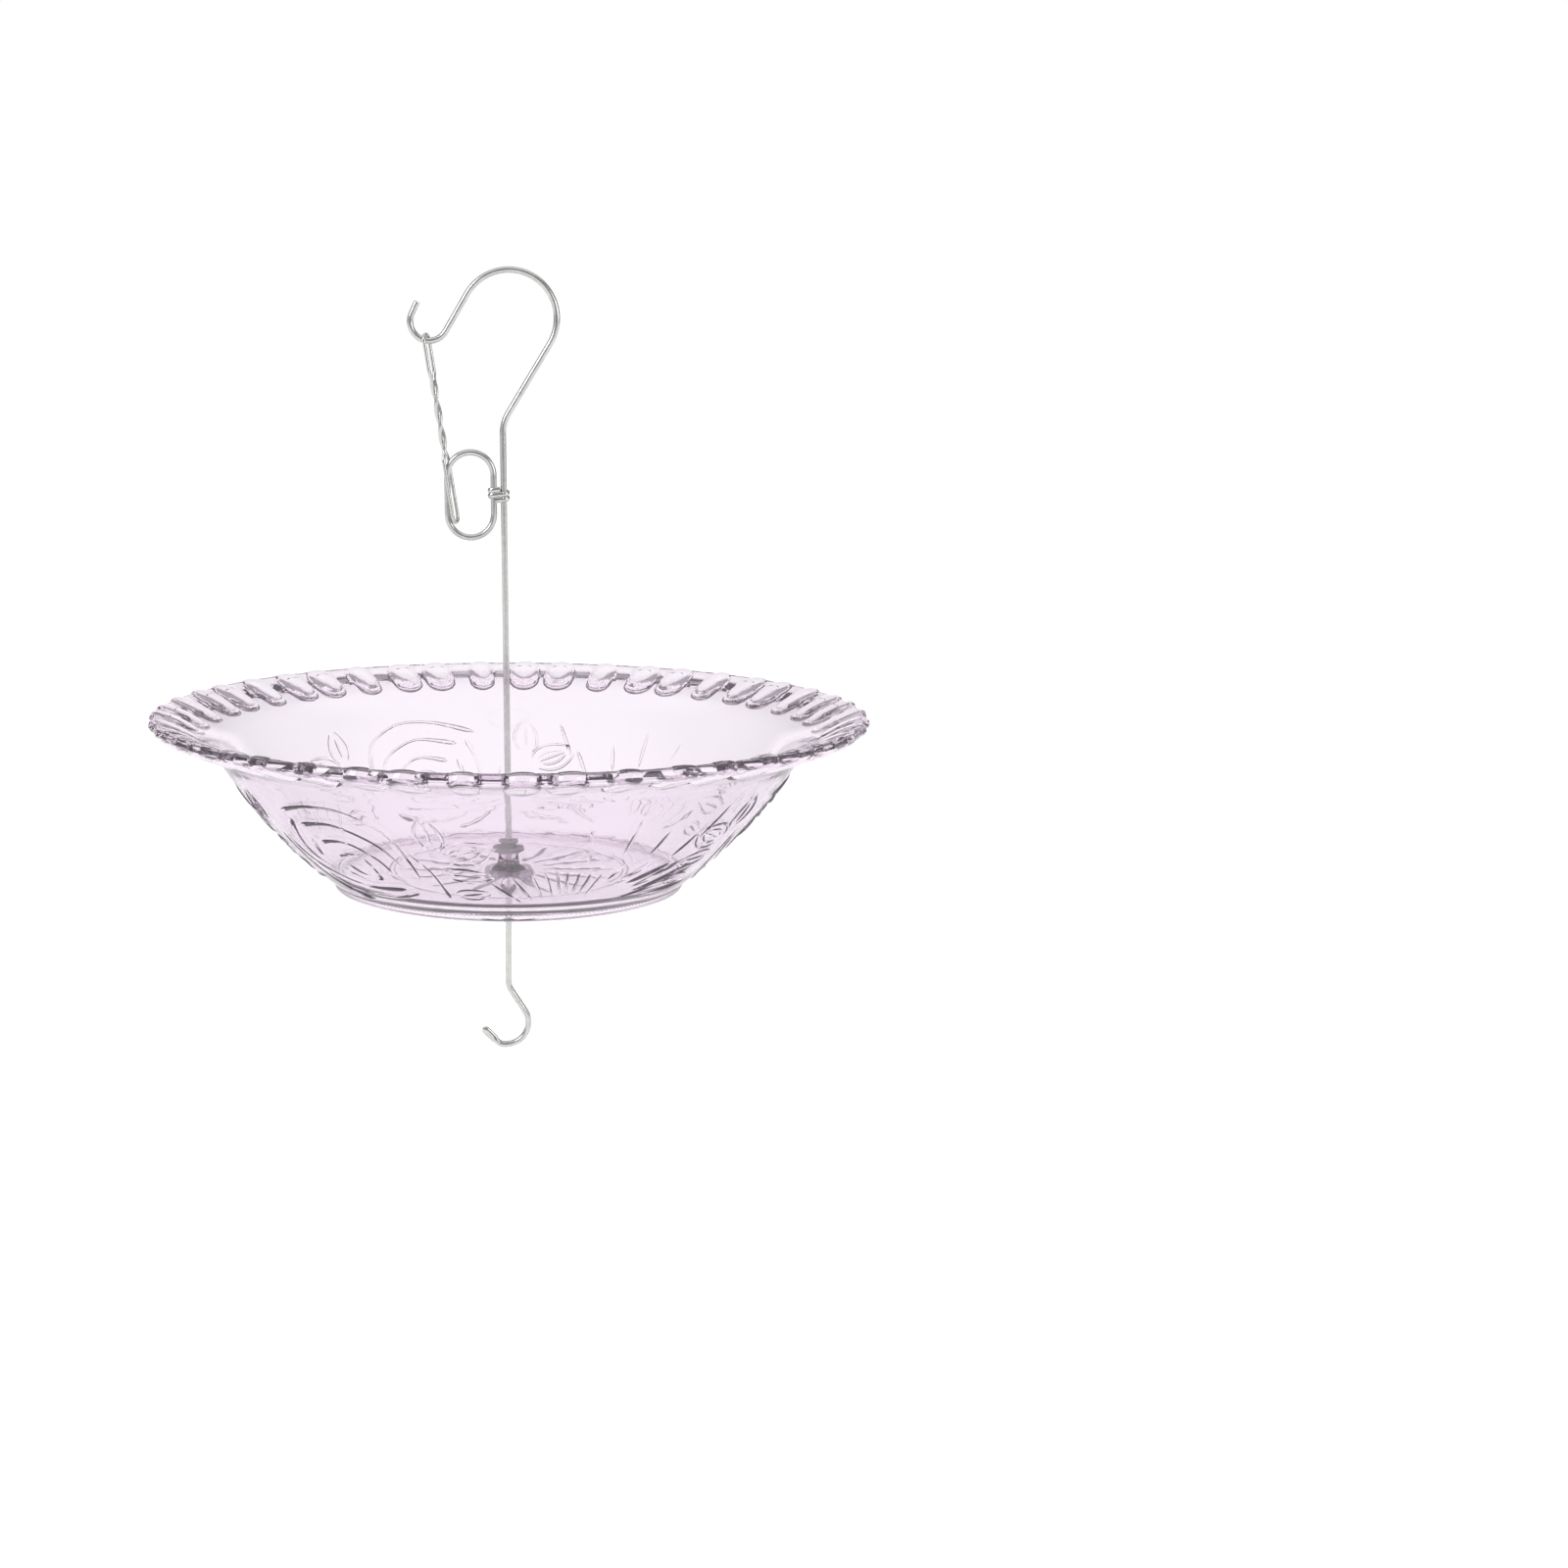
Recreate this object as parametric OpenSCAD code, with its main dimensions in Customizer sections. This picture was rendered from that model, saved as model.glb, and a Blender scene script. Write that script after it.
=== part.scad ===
// Hanging bird bath: a pressed-pattern bowl on a bent wire hanger.
// Origin: underside of the main hook's crest, where the bath hangs. Z is up, X lies in the hanger's plane.

/* [Bowl] */
// Diameter over the beaded edge
bowl_d = 305; // [280:1:330]
// Height from the foot to the top of the beads
bowl_h = 75.6; // [70:0.2:84]
// Drop from the hook's crest to the top of the beads
rim_drop = 181.4; // [170:0.2:200]
// Outside diameter of the foot ring
foot_d = 150; // [136:1:160]
// Height of the foot ring below the floor
foot_ring_h = 3.2; // [2.6:0.1:5]
// Width of the foot ring
foot_ring_w = 2.4; // [1.6:0.1:4]
// Thickness of the wall
wall_t = 3; // [2.4:0.1:4]
// Thickness of the floor
floor_t = 2.8; // [2:0.1:4]
// Radius of the wall's outward curve
wall_curve_r = 215; // [150:1:400]

/* [Beaded edge] */
// Width of the sloping edge, from the shoulder out
edge_w = 28.3; // [25:0.1:32]
// Slope of the edge
edge_slope = 21.4; // [16:0.1:26]
// Thickness of the edge over a bead
bead_t = 6.7; // [5.8:0.1:8]
// Rounding of a bead's outer corners
bead_round = 1.9; // [1:0.1:2.4]
// Thickness of the plate between beads
plate_t = 2.6; // [2:0.1:3.2]
// How far the plate stays behind the beads
plate_recess = 2.9; // [1.5:0.1:4]
// Groups of one single and two paired beads
bead_groups = 15; // [9:3:15]
// Width of a single bead
single_w = 14.4; // [11:0.1:16]
// Width of each paired bead
pair_w = 17; // [15:0.1:17.2]
// Length of a bead, in from the edge
bead_l = 25; // [22:0.1:27]
// Angle between the two beads of a pair
pair_gap_deg = 6.9; // [6.2:0.1:7.6]
// Angle of the first single bead
bead_start_deg = -0.6; // [-12:0.2:12]

/* [Relief] */
// Height of the relief above the wall
relief_h = 0.7; // [0.4:0.1:1.2]
// Number of roses round the bowl, with a burst between each two
rose_count = 3; // [2:1:3]
// Angle of the first rose
rose_deg = -130; // [-180:1:180]
// Distance of the roses' centres above the foot, along the wall
rose_up = 31; // [28:0.5:36]
// Reach of each rose's outer petals
rose_r = 34; // [28:0.5:36]
// Distance of the bursts' focus above the foot, along the wall
burst_up = 5; // [3:0.5:10]
// Length of the burst's long rays
ray_l = 34; // [28:0.5:40]

/* [Hub] */
// Height of the hub's neck above the floor
hub_h = 7.4; // [5:0.1:10]
// Diameter of the hub's neck
hub_d = 7.8; // [7:0.1:11]
// Play of the bowl's bore on the rod, each side
bore_play = 0.3; // [0.2:0.05:0.6]
// Diameter of the sealing washer
washer_d = 13.3; // [11:0.1:18]
// Thickness of the sealing washer
washer_t = 1.2; // [1:0.1:3]
// Diameter of the retaining collar's top disc
collar_d = 8.2; // [7:0.1:10]
// Height of the retaining collar
collar_h = 3.2; // [2.4:0.1:5]
// Span over the support's legs, corner to corner
support_span = 28.5; // [22:0.1:34]
// Height of the support
support_h = 5; // [4:0.1:8]
// Width of each leg
leg_w = 5; // [3.6:0.1:6]

/* [Hanger] */
// Diameter of the hanger's wire
wire_d = 2.7; // [2.2:0.1:3.2]
// Centreline radius of the main hook
hook_r = 20; // [18:0.1:22]
// Lean of the hook's straight leg from upright
leg_lean = 31; // [28:0.5:34]
// Centreline radius of the bend from leg to rod
neck_bend_r = 16; // [6:0.5:22]
// Lean of the rod between the leg and the hub
rod_lean = 0.8; // [0.2:0.1:1.2]
// Centreline radius of the latch hook
latch_hook_r = 7.9; // [7:0.1:9]
// Sideways distance from the main hook's centre to the latch hook's centre
latch_hook_x = 33; // [32:0.1:36]
// Drop from the main hook's centre to the latch hook's centre
latch_hook_drop = 1.2; // [0:0.1:4]
// Straight end of the latch hook
latch_tip_l = 5.4; // [4:0.1:7]
// Centreline radius of the lower hook
lower_hook_r = 9.8; // [8.6:0.1:12]
// Drop of the lower hook's lowest centreline below the bowl's foot
lower_hook_drop = 73; // [58:0.5:95]
// Width of the lower hook's flattened end
spade_w = 3.6; // [3.3:0.1:5]

/* [Ring and ferrule] */
// Centreline width of the oval ring
ring_w = 19.4; // [17:0.1:21]
// Centreline height of the oval ring
ring_h = 35.7; // [32:0.1:40]
// Drop from the ring's middle to the end of the link's loop, which seats in it
ring_drop = 12.139; // [10:0.1:14]
// Gap between the ring and the rod
ring_gap = 1.5; // [1.2:0.1:3]
// Height of the ferrule
ferrule_h = 6.2; // [4:0.1:9]
// Wall of the ferrule
ferrule_t = 0.7; // [0.5:0.05:1]

/* [Latch link] */
// Diameter of the link's wire
link_wire_d = 1.5; // [1.3:0.1:1.9]
// Length of the link between the middles of its end bends
link_l = 79; // [75:0.5:82]
// Length of the link's eye
eye_l = 20.5; // [18:0.1:22]
// Length of the link's lower loop
loop_l = 31; // [29:0.1:32]
// Half turns of the twist
twist_halves = 3; // [2:1:6]
// Play of the link on the hook and the ring
link_play = 0.3; // [0.25:0.05:0.4]

/* [Hidden] */

clear_lilac = "#d9cfe0";
galvanised = "#b9bcbd";
dark_rubber = "#2b2b2d";
smoke_clear = "#8d8790";

// Clearance of pieces that grip the wire
grip_play = 0.03;
wire_r = wire_d / 2;
// Wire is a little fuller in its bends, and its straight runs enter them
bend_swell = 0.02;
bend_entry = 0.3;
link_r = link_wire_d / 2;

// Levels of the bowl
rim_z = -rim_drop;
foot_z = rim_z - bowl_h;
floor_under_z = foot_z + foot_ring_h;
floor_z = floor_under_z + floor_t;
hub_top_z = floor_z + hub_h;
washer_top_z = hub_top_z + washer_t;
collar_top_z = washer_top_z + collar_h;
support_z = floor_under_z - support_h;
bore_r = wire_r + bore_play;

// A point r from the origin towards angle a
function polar(r, a) = [r * cos(a), r * sin(a)];

// A point d along from p towards angle a
function step(p, d, a) = p + polar(d, a);

// Wall curve: an arc from the shoulder down to the foot ring, in the plane of radius and height
bead_reach = pair_w / 2 - bead_round;
bead_rise = bead_t / 2 - bead_round;
bead_mid = [
    bowl_d / 2 - bead_round - bead_reach * cos(edge_slope) - bead_rise * sin(edge_slope),
    rim_z - bead_round - bead_reach * sin(edge_slope) - bead_rise * cos(edge_slope)
];
edge_run = edge_w / cos(edge_slope);
shoulder = step(step(bead_mid, pair_w / 2 - edge_run, edge_slope), bead_t / 2, edge_slope - 90);
wall_foot = [foot_d / 2 + 1.6, floor_under_z + 0.4];
wall_chord = norm(shoulder - wall_foot);
wall_dir = atan2(shoulder[1] - wall_foot[1], shoulder[0] - wall_foot[0]);
wall_mid = (shoulder + wall_foot) / 2;
wall_centre = step(wall_mid, sqrt(pow(wall_curve_r, 2) - pow(wall_chord / 2, 2)), wall_dir + 90);
wall_foot_deg = atan2(wall_foot[1] - wall_centre[1], wall_foot[0] - wall_centre[0]);

// Straight bands that make up the wall's section, and how far it runs into the edge
wall_bands = 5;
wall_into_edge = 4.4;
wall_span_deg = 2 * asin(wall_chord / 2 / wall_curve_r) + wall_into_edge / wall_curve_r * 180 / PI;

// Angle on the wall curve at distance s above the foot
function wall_deg(s) = wall_foot_deg + s / wall_curve_r * 180 / PI;

// Radius round the bowl of the wall at distance s above the foot
function wall_r(s) = wall_centre[0] + wall_curve_r * cos(wall_deg(s));

// Bead spacing
group_deg = 360 / bead_groups;
bead_angles = [for (g = [0:bead_groups - 1]) bead_start_deg + g * group_deg];
pair_offsets = [group_deg / 2 - pair_gap_deg / 2, group_deg / 2 + pair_gap_deg / 2];

// Hanger: centres and tangent angles of its bends, in the plane of X and Z
crest_z = wire_r;
hook_centre = [0, crest_z - hook_r];
latch_centre = hook_centre - [latch_hook_x, latch_hook_drop];
latch_gap = norm(latch_centre - hook_centre);
latch_line_deg = atan2(latch_centre[1] - hook_centre[1], latch_centre[0] - hook_centre[0]) + 360;
tangent_deg = latch_line_deg - acos((hook_r + latch_hook_r) / latch_gap);
latch_end_deg = 155;
latch_tip = step(step(latch_centre, latch_hook_r, latch_end_deg), latch_tip_l, latch_end_deg - 90);

// The rod leans above the hub and is upright from the collar down
lean_z = collar_top_z;
lean_bend_r = 60;
lean_centre = [-lean_bend_r, lean_z];
lean_top = step(lean_centre, lean_bend_r, rod_lean);
leg_normal = polar(1, -leg_lean);
rod_normal = polar(1, rod_lean);
neck_sums = [hook_r + neck_bend_r + leg_normal * hook_centre, neck_bend_r + rod_normal * lean_top];
neck_det = leg_normal[0] * rod_normal[1] - leg_normal[1] * rod_normal[0];
neck_centre = [
    (neck_sums[0] * rod_normal[1] - leg_normal[1] * neck_sums[1]) / neck_det,
    (leg_normal[0] * neck_sums[1] - neck_sums[0] * rod_normal[0]) / neck_det
];

// Lower hook
sweep_deg = 33;
sweep_r = 8;
lower_centre = [-1.2, foot_z - lower_hook_drop + lower_hook_r];
sweep_run = (lower_centre[0] + lower_hook_r * cos(sweep_deg) - sweep_r * (1 - cos(sweep_deg))) / sin(sweep_deg);
sweep_z = lower_centre[1] + (lower_hook_r + sweep_r) * sin(sweep_deg) + sweep_run * cos(sweep_deg);
lower_end_deg = -85;
spade_bend_r = 4;
spade_bend_deg = 50;
spade_arm_l = 9;
spade_t = 1.9;
spade_l = 7;
lower_end = step(lower_centre, lower_hook_r, lower_end_deg);
spade_bend_start = step(lower_end, 1.2, lower_end_deg - 90);
spade_centre = step(spade_bend_start, spade_bend_r, lower_end_deg + 180);
spade_start = step(spade_centre, spade_bend_r, lower_end_deg - spade_bend_deg);
spade_deg = lower_end_deg - spade_bend_deg - 90;
spade_end = step(spade_start, spade_arm_l, spade_deg);

// Ears pinched in the rod under the support
ear_w = 4.4;
ear_t = 1.5;
ear_h = 4;

// Latch link: from the latch hook's bottom to the ring's left side
ring_x = -(2 * wire_r + ring_gap + ring_w / 2);
seat_play = wire_r + link_r + link_play;
eye_seat_deg = 254;
eye_top = step(latch_centre, latch_hook_r - seat_play, eye_seat_deg);

// Across the link from its eye to the ring's outer side, and the height of its end, with the ring at height z
function link_across(z) = ring_x + (lean_z - z) * sin(rod_lean) - ring_w / 2 - eye_top[0];
function loop_end_at(z) = eye_top[1] - sqrt(pow(link_l, 2) - pow(link_across(z), 2));

// The ring takes its height from the link that hangs into it
near_ring_z = loop_end_at(eye_top[1] - link_l) + ring_drop;
ring_z = loop_end_at(near_ring_z) + ring_drop;
ring_mid_x = ring_x + (lean_z - ring_z) * sin(rod_lean);
loop_end_drop = max(0, ring_drop - (ring_h - ring_w) / 2);
loop_end_x = ring_mid_x - sqrt(pow(ring_w / 2 - seat_play, 2) - pow(loop_end_drop, 2));
link_deg = asin((loop_end_x - eye_top[0]) / link_l);
strand_y = wire_r + link_play + link_r;
taper_l = 5.5;
kink_r = 4;
link_entry = 0.12;
pair_y = link_r + 0.05;
twist_r = link_r + 0.1;

// A straight run of wire between two points of the plane of X and Z, entering the bends at its ends
module wire_run(a, b, r, enter = bend_entry) {
    v = b - a;
    translate([a[0], 0, a[1]])
        rotate([0, 90 - atan2(v[1], v[0]), 0])
            translate([0, 0, -enter])
                cylinder(h = norm(v) + 2 * enter, r = r, $fn = 24);
}

// A bend of wire about a point of that plane, from angle a to angle b
module wire_bend(centre, bend_r, a, b, r) {
    translate([centre[0], 0, centre[1]])
        rotate([90, 0, 0])
            rotate([0, 0, min(a, b)])
                rotate_extrude(angle = abs(b - a), $fn = 120)
                    translate([bend_r, 0])
                        circle(r = r + bend_swell, $fn = 24);
}

// Moves children from the rod's own axis at height z to their place
module on_rod(z) {
    translate([(lean_z - z) * sin(rod_lean), 0, z])
        rotate([0, -rod_lean, 0])
            children();
}

// Section of the wall: straight bands that follow its curve
module wall_section() {
    turns = [for (k = [0:wall_bands]) wall_foot_deg + k * wall_span_deg / wall_bands];
    polygon(concat(
        [for (t = turns) step(wall_centre, wall_curve_r, t)],
        [for (k = [wall_bands:-1:0]) step(wall_centre, wall_curve_r - wall_t, turns[k])]
    ));
}

// Section of the floor, the foot ring and the hub's neck
module floor_section() {
    translate([bore_r, floor_under_z])
        square([wall_foot[0] - bore_r, floor_t]);
    translate([foot_d / 2 - foot_ring_w, foot_z + foot_ring_w / 2])
        square([foot_ring_w, foot_ring_h + 1 - foot_ring_w / 2]);
    translate([foot_d / 2 - foot_ring_w / 2, foot_z + foot_ring_w / 2])
        circle(d = foot_ring_w, $fn = 24);
    polygon([
        [bore_r, floor_under_z + 0.4],
        [hub_d / 2 + 2.4, floor_z - 0.4],
        [hub_d / 2 + 0.5, floor_z + 2],
        [hub_d / 2, hub_top_z],
        [bore_r, hub_top_z]
    ]);
}

// Section of the plate that the beads stand on, in the sloping edge's own directions
plate_low = (bead_t - plate_t) / 2;
module plate_section() {
    plate_end = edge_run - plate_recess - plate_t / 2;
    translate(shoulder)
        rotate(edge_slope) {
            translate([-1.6, plate_low])
                square([plate_end + 1.6, plate_t]);
            translate([plate_end, bead_t / 2])
                circle(d = plate_t, $fn = 24);
        }
}

// A bead of width w: a coin with a rounded edge, and a lower arch that runs in from it
module bead(w) {
    arch_w = w * 0.9;
    arch_low = 0.35;
    centre = step(bead_mid, (pair_w - w) / 2, edge_slope);
    translate([centre[0], 0, centre[1]])
        rotate([0, -edge_slope, 0]) {
            translate([0, 0, -bead_t / 2])
                rotate_extrude($fn = 40) {
                    square([w / 2 - bead_round, bead_t]);
                    translate([0, bead_round])
                        square([w / 2, bead_t - 2 * bead_round]);
                    for (z = [bead_round, bead_t - bead_round])
                        translate([w / 2 - bead_round, z])
                            circle(r = bead_round, $fn = 24);
                }
            translate([arch_w / 2 + w / 2 - bead_l, 0, arch_low - bead_t / 2])
                cylinder(h = bead_t / 2, d = arch_w, $fn = 40);
        }
}

module beads() {
    for (a = bead_angles) {
        rotate([0, 0, a])
            bead(single_w);
        for (b = pair_offsets)
            rotate([0, 0, a + b])
                bead(pair_w);
    }
}

// A crescent of width w at angle dir, tapering to nothing span degrees either side
module crescent(r, w, dir, span) {
    shift = w / (1 - cos(span));
    rotate(dir)
        difference() {
            circle(r = r, $fn = 72);
            translate([-shift, 0])
                circle(r = r + shift * cos(span), $fn = 72);
        }
}

// A leaf shape of length l and width w, from the origin along X
module leaf(l, w) {
    r = (l * l + w * w) / (4 * w);
    intersection() {
        translate([l / 2, r - w / 2])
            circle(r = r, $fn = 96);
        translate([l / 2, w / 2 - r])
            circle(r = r, $fn = 96);
    }
}

// Petals: share of the rose's reach, width, direction and half span
petals = [
    [0.40, 3.0, 55, 66], [0.46, 3.8, 165, 60], [0.58, 2.6, 0, 54], [0.60, 3.0, 250, 50],
    [0.70, 4.2, 70, 44], [0.80, 3.2, 182, 40], [0.84, 2.8, 315, 40], [0.98, 3.6, 120, 32],
    [1.00, 4.0, 225, 32], [1.04, 3.4, 20, 32]
];

// How deep a motif is set into the wall
motif_deep = 1.6;

// Lays a flat shape on the wall at angle a round the bowl and distance s above the foot
module on_wall(a, s) {
    t = wall_deg(s);
    p = step(wall_centre, wall_curve_r, t);
    rotate([0, 0, a])
        translate([p[0], 0, p[1]])
            rotate([0, 90 - t, 0])
                rotate([0, 0, 90])
                    translate([0, 0, -motif_deep])
                        linear_extrude(height = motif_deep + relief_h)
                            children();
}

// An open rose at angle a, each petal laid on the wall under its own middle
module rose(a) {
    on_wall(a, rose_up)
        circle(r = rose_r * 0.2, $fn = 36);
    for (p = petals) {
        middle = polar(rose_r * p[0], p[2]);
        s = rose_up + middle[1];
        turn = middle[0] / wall_r(s) * 180 / PI;
        on_wall(a + turn, s)
            translate([-middle[0], -middle[1]])
                crescent(rose_r * p[0], p[1], p[2], p[3]);
    }
}

// Rays that fan out from one focus near the foot
ray_step = 15;
ray_inner = 7;
module burst(a) {
    for (i = [-4:4]) {
        l = i % 2 == 0 ? ray_l : ray_l * 0.72;
        middle = polar(ray_inner + l / 2, 90 + i * ray_step);
        s = burst_up + middle[1];
        turn = middle[0] / wall_r(s) * 180 / PI;
        on_wall(a + turn, s)
            rotate(90 + i * ray_step)
                translate([-l / 2, 0])
                    leaf(l, 3);
    }
}

// Three leaves that spread from one stem
module sprig() {
    for (a = [-32, 0, 30])
        rotate(a)
            leaf(a == 0 ? 17 : 15, 4);
}

// A bud between two long leaves
module bud() {
    circle(d = 7, $fn = 36);
    for (a = [-16, 16])
        rotate(a)
            translate([4.4, 0])
                leaf(15, 3.6);
}

module relief() {
    rose_pitch = 360 / rose_count;
    for (i = [0:rose_count - 1]) {
        a = rose_deg + i * rose_pitch;
        rose(a);
        burst(a + rose_pitch / 2);
        for (side = [0, 1]) {
            on_wall(a + (side == 0 ? 24 : -24), rose_up + 22)
                mirror([side, 0])
                    rotate(8)
                        sprig();
            on_wall(a + (side == 0 ? 27 : -27), rose_up - 22)
                mirror([side, 0])
                    bud();
        }
    }
}

// Petals pressed into a star under the floor
star_petals = 16;
star_inner = 18;
star_l = 24;
star_t = 0.5;
module star() {
    translate([0, 0, floor_under_z - star_t])
        linear_extrude(height = star_t + 0.5)
            for (i = [0:star_petals - 1])
                rotate(i * 360 / star_petals)
                    translate([star_inner, 0])
                        leaf(star_l, 5);
}

module bowl() {
    color(clear_lilac) {
        rotate_extrude($fn = 180) {
            wall_section();
            floor_section();
            plate_section();
        }
        beads();
        relief();
        star();
    }
}

// The flattened end of the lower hook
module spade() {
    translate([spade_start[0], 0, spade_start[1]])
        rotate([0, -spade_deg, 0])
            rotate([90, 0, 0])
                translate([0, 0, -spade_t / 2])
                    linear_extrude(height = spade_t) {
                        translate([spade_arm_l - spade_l, -spade_w / 2])
                            square([spade_l - spade_w / 2, spade_w]);
                        translate([spade_arm_l - spade_w / 2, 0])
                            circle(d = spade_w, $fn = 36);
                    }
}

// Ears pinched in the rod, which carry the support
module ears() {
    translate([0, 0, support_z])
        rotate([90, 0, 0])
            translate([0, 0, -ear_t / 2])
                linear_extrude(height = ear_t)
                    polygon([
                        [-ear_w / 2, 0], [ear_w / 2, 0], [ear_w / 2, -ear_h * 0.6],
                        [wire_r, -ear_h], [-wire_r, -ear_h], [-ear_w / 2, -ear_h * 0.6]
                    ]);
}

module hanger_wire() {
    neck_leg = step(neck_centre, neck_bend_r, 180 - leg_lean);
    neck_rod = step(neck_centre, neck_bend_r, 180 + rod_lean);
    sweep_centre = [sweep_r, sweep_z];
    color(galvanised) {
        wire_run(latch_tip, step(latch_centre, latch_hook_r, latch_end_deg), wire_r);
        wire_bend(latch_centre, latch_hook_r, latch_end_deg, tangent_deg + 180, wire_r);
        wire_run(step(latch_centre, latch_hook_r, tangent_deg + 180), step(hook_centre, hook_r, tangent_deg),
            wire_r);
        wire_bend(hook_centre, hook_r, -leg_lean, tangent_deg, wire_r);
        wire_run(step(hook_centre, hook_r, -leg_lean), neck_leg, wire_r);
        wire_bend(neck_centre, neck_bend_r, 180 - leg_lean, 180 + rod_lean, wire_r);
        wire_run(neck_rod, lean_top, wire_r);
        wire_bend(lean_centre, lean_bend_r, 0, rod_lean, wire_r);
        wire_run([0, lean_z], [0, sweep_z], wire_r);
        wire_bend(sweep_centre, sweep_r, 180, 180 + sweep_deg, wire_r);
        wire_run(step(sweep_centre, sweep_r, 180 + sweep_deg), step(lower_centre, lower_hook_r, sweep_deg), wire_r);
        wire_bend(lower_centre, lower_hook_r, lower_end_deg, sweep_deg, wire_r);
        wire_run(lower_end, spade_bend_start, wire_r);
        wire_bend(spade_centre, spade_bend_r, lower_end_deg - spade_bend_deg, lower_end_deg, wire_r);
        wire_run(spade_start, step(spade_start, spade_arm_l - spade_l + 1, spade_deg), wire_r);
        spade();
        ears();
    }
}

module oval_ring() {
    side = (ring_h - ring_w) / 2;
    color(galvanised)
        on_rod(ring_z)
            translate([ring_x, 0, 0]) {
                for (x = [-ring_w / 2, ring_w / 2])
                    wire_run([x, -side], [x, side], wire_r);
                wire_bend([0, side], ring_w / 2, 0, 180, wire_r);
                wire_bend([0, -side], ring_w / 2, 180, 360, wire_r);
            }
}

// A sleeve pressed round the rod and the ring's near side, pinched between them
module ferrule() {
    pitch = 2 * wire_r + ring_gap;
    color(galvanised)
        on_rod(ring_z)
            translate([0, 0, -ferrule_h / 2])
                difference() {
                    union() {
                        for (x = [0, -pitch])
                            translate([x, 0, 0])
                                cylinder(h = ferrule_h, r = wire_r + ferrule_t, $fn = 36);
                        translate([-pitch, -ferrule_t * 1.6, 0])
                            cube([pitch, ferrule_t * 3.2, ferrule_h]);
                    }
                    for (x = [0, -pitch])
                        translate([x, 0, -1])
                            cylinder(h = ferrule_h + 2, r = wire_r + grip_play, $fn = 36);
                }
}

// One end of the link: a bend at the origin, two strands below it that close towards the twist
module link_end(l) {
    bend_start = l - taper_l;
    target = [pair_y - strand_y + kink_r, -taper_l];
    kink_deg = atan2(target[1], target[0]) + acos(kink_r / norm(target));
    kink_centre = [strand_y - kink_r, -bend_start];
    rotate([0, 0, 90]) {
        wire_bend([0, -strand_y], strand_y, 0, 180, link_r);
        for (side = [0, 1])
            mirror([side, 0, 0]) {
                wire_run([strand_y, -bend_start], [strand_y, -strand_y], link_r, link_entry);
                wire_bend(kink_centre, kink_r, kink_deg, 0, link_r);
                wire_run([pair_y, -l], step(kink_centre, kink_r, kink_deg), link_r, link_entry);
            }
    }
}

module latch_link() {
    twist_l = link_l - eye_l - loop_l;
    color(galvanised)
        translate([eye_top[0], 0, eye_top[1]])
            rotate([0, -link_deg, 0]) {
                link_end(eye_l);
                translate([0, 0, -link_l])
                    mirror([0, 0, 1])
                        link_end(loop_l);
                translate([0, 0, -eye_l - twist_l - link_entry])
                    linear_extrude(height = twist_l + 2 * link_entry, twist = 180 * twist_halves,
                        slices = 6 * twist_halves)
                        for (y = [-pair_y, pair_y])
                            translate([0, y])
                                circle(r = twist_r, $fn = 14);
            }
}

module sealing_washer() {
    color(dark_rubber)
        translate([0, 0, hub_top_z])
            difference() {
                cylinder(h = washer_t, d = washer_d, $fn = 48);
                translate([0, 0, -1])
                    cylinder(h = washer_t + 2, r = wire_r + grip_play, $fn = 36);
            }
}

module retaining_collar() {
    disc_t = 0.9;
    color(dark_rubber)
        translate([0, 0, washer_top_z])
            difference() {
                union() {
                    cylinder(h = collar_h, d = collar_d - 1.8, $fn = 48);
                    translate([0, 0, collar_h - disc_t])
                        cylinder(h = disc_t, d = collar_d, $fn = 48);
                }
                translate([0, 0, -1])
                    cylinder(h = collar_h + 2, r = wire_r + grip_play, $fn = 36);
            }
}

// Clear support with four legs that spread under the floor
module support_spider() {
    plate_r = 6.5;
    web_t = 1.8;
    color(smoke_clear)
        difference() {
            union() {
                translate([0, 0, floor_under_z - web_t])
                    cylinder(h = web_t, r = plate_r, $fn = 48);
                translate([0, 0, support_z])
                    cylinder(h = support_h, r = wire_r + 1.6, $fn = 48);
                for (a = [45:90:315])
                    rotate([0, 0, a])
                        translate([0, leg_w / 2, floor_under_z])
                            rotate([90, 0, 0])
                                linear_extrude(height = leg_w)
                                    polygon([
                                        [2, 0],
                                        [support_span / 2 - 3.6, 0],
                                        [support_span / 2, -support_h],
                                        [plate_r, -web_t * 1.3],
                                        [2, -web_t * 1.3]
                                    ]);
            }
            translate([0, 0, support_z - 1])
                cylinder(h = support_h + 2, r = wire_r + grip_play, $fn = 36);
        }
}

bowl();
hanger_wire();
oval_ring();
ferrule();
latch_link();
sealing_washer();
retaining_collar();
support_spider();
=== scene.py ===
"""Looks of a hanging bird bath: a clear pressed bowl with a beaded edge on a galvanised wire hanger."""

import math

import bpy
import numpy as np
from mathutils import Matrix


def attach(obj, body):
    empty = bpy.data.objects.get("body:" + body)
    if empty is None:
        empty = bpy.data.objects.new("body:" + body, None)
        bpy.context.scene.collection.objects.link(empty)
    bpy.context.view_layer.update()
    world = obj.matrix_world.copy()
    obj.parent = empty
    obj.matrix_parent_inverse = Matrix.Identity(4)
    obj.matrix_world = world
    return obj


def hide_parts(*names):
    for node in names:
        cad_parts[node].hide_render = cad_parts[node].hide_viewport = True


bl_info = {
    "name": "Hanging bird bath",
    "version": (1, 0, 0),
    "blender": (4, 5, 0),
    "location": "View3D > Sidebar > Bird bath",
    "description": "Builds a clear beaded bowl, its wire hanger and a studio stage round the loaded frame",
    "category": "Object",
}

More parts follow.
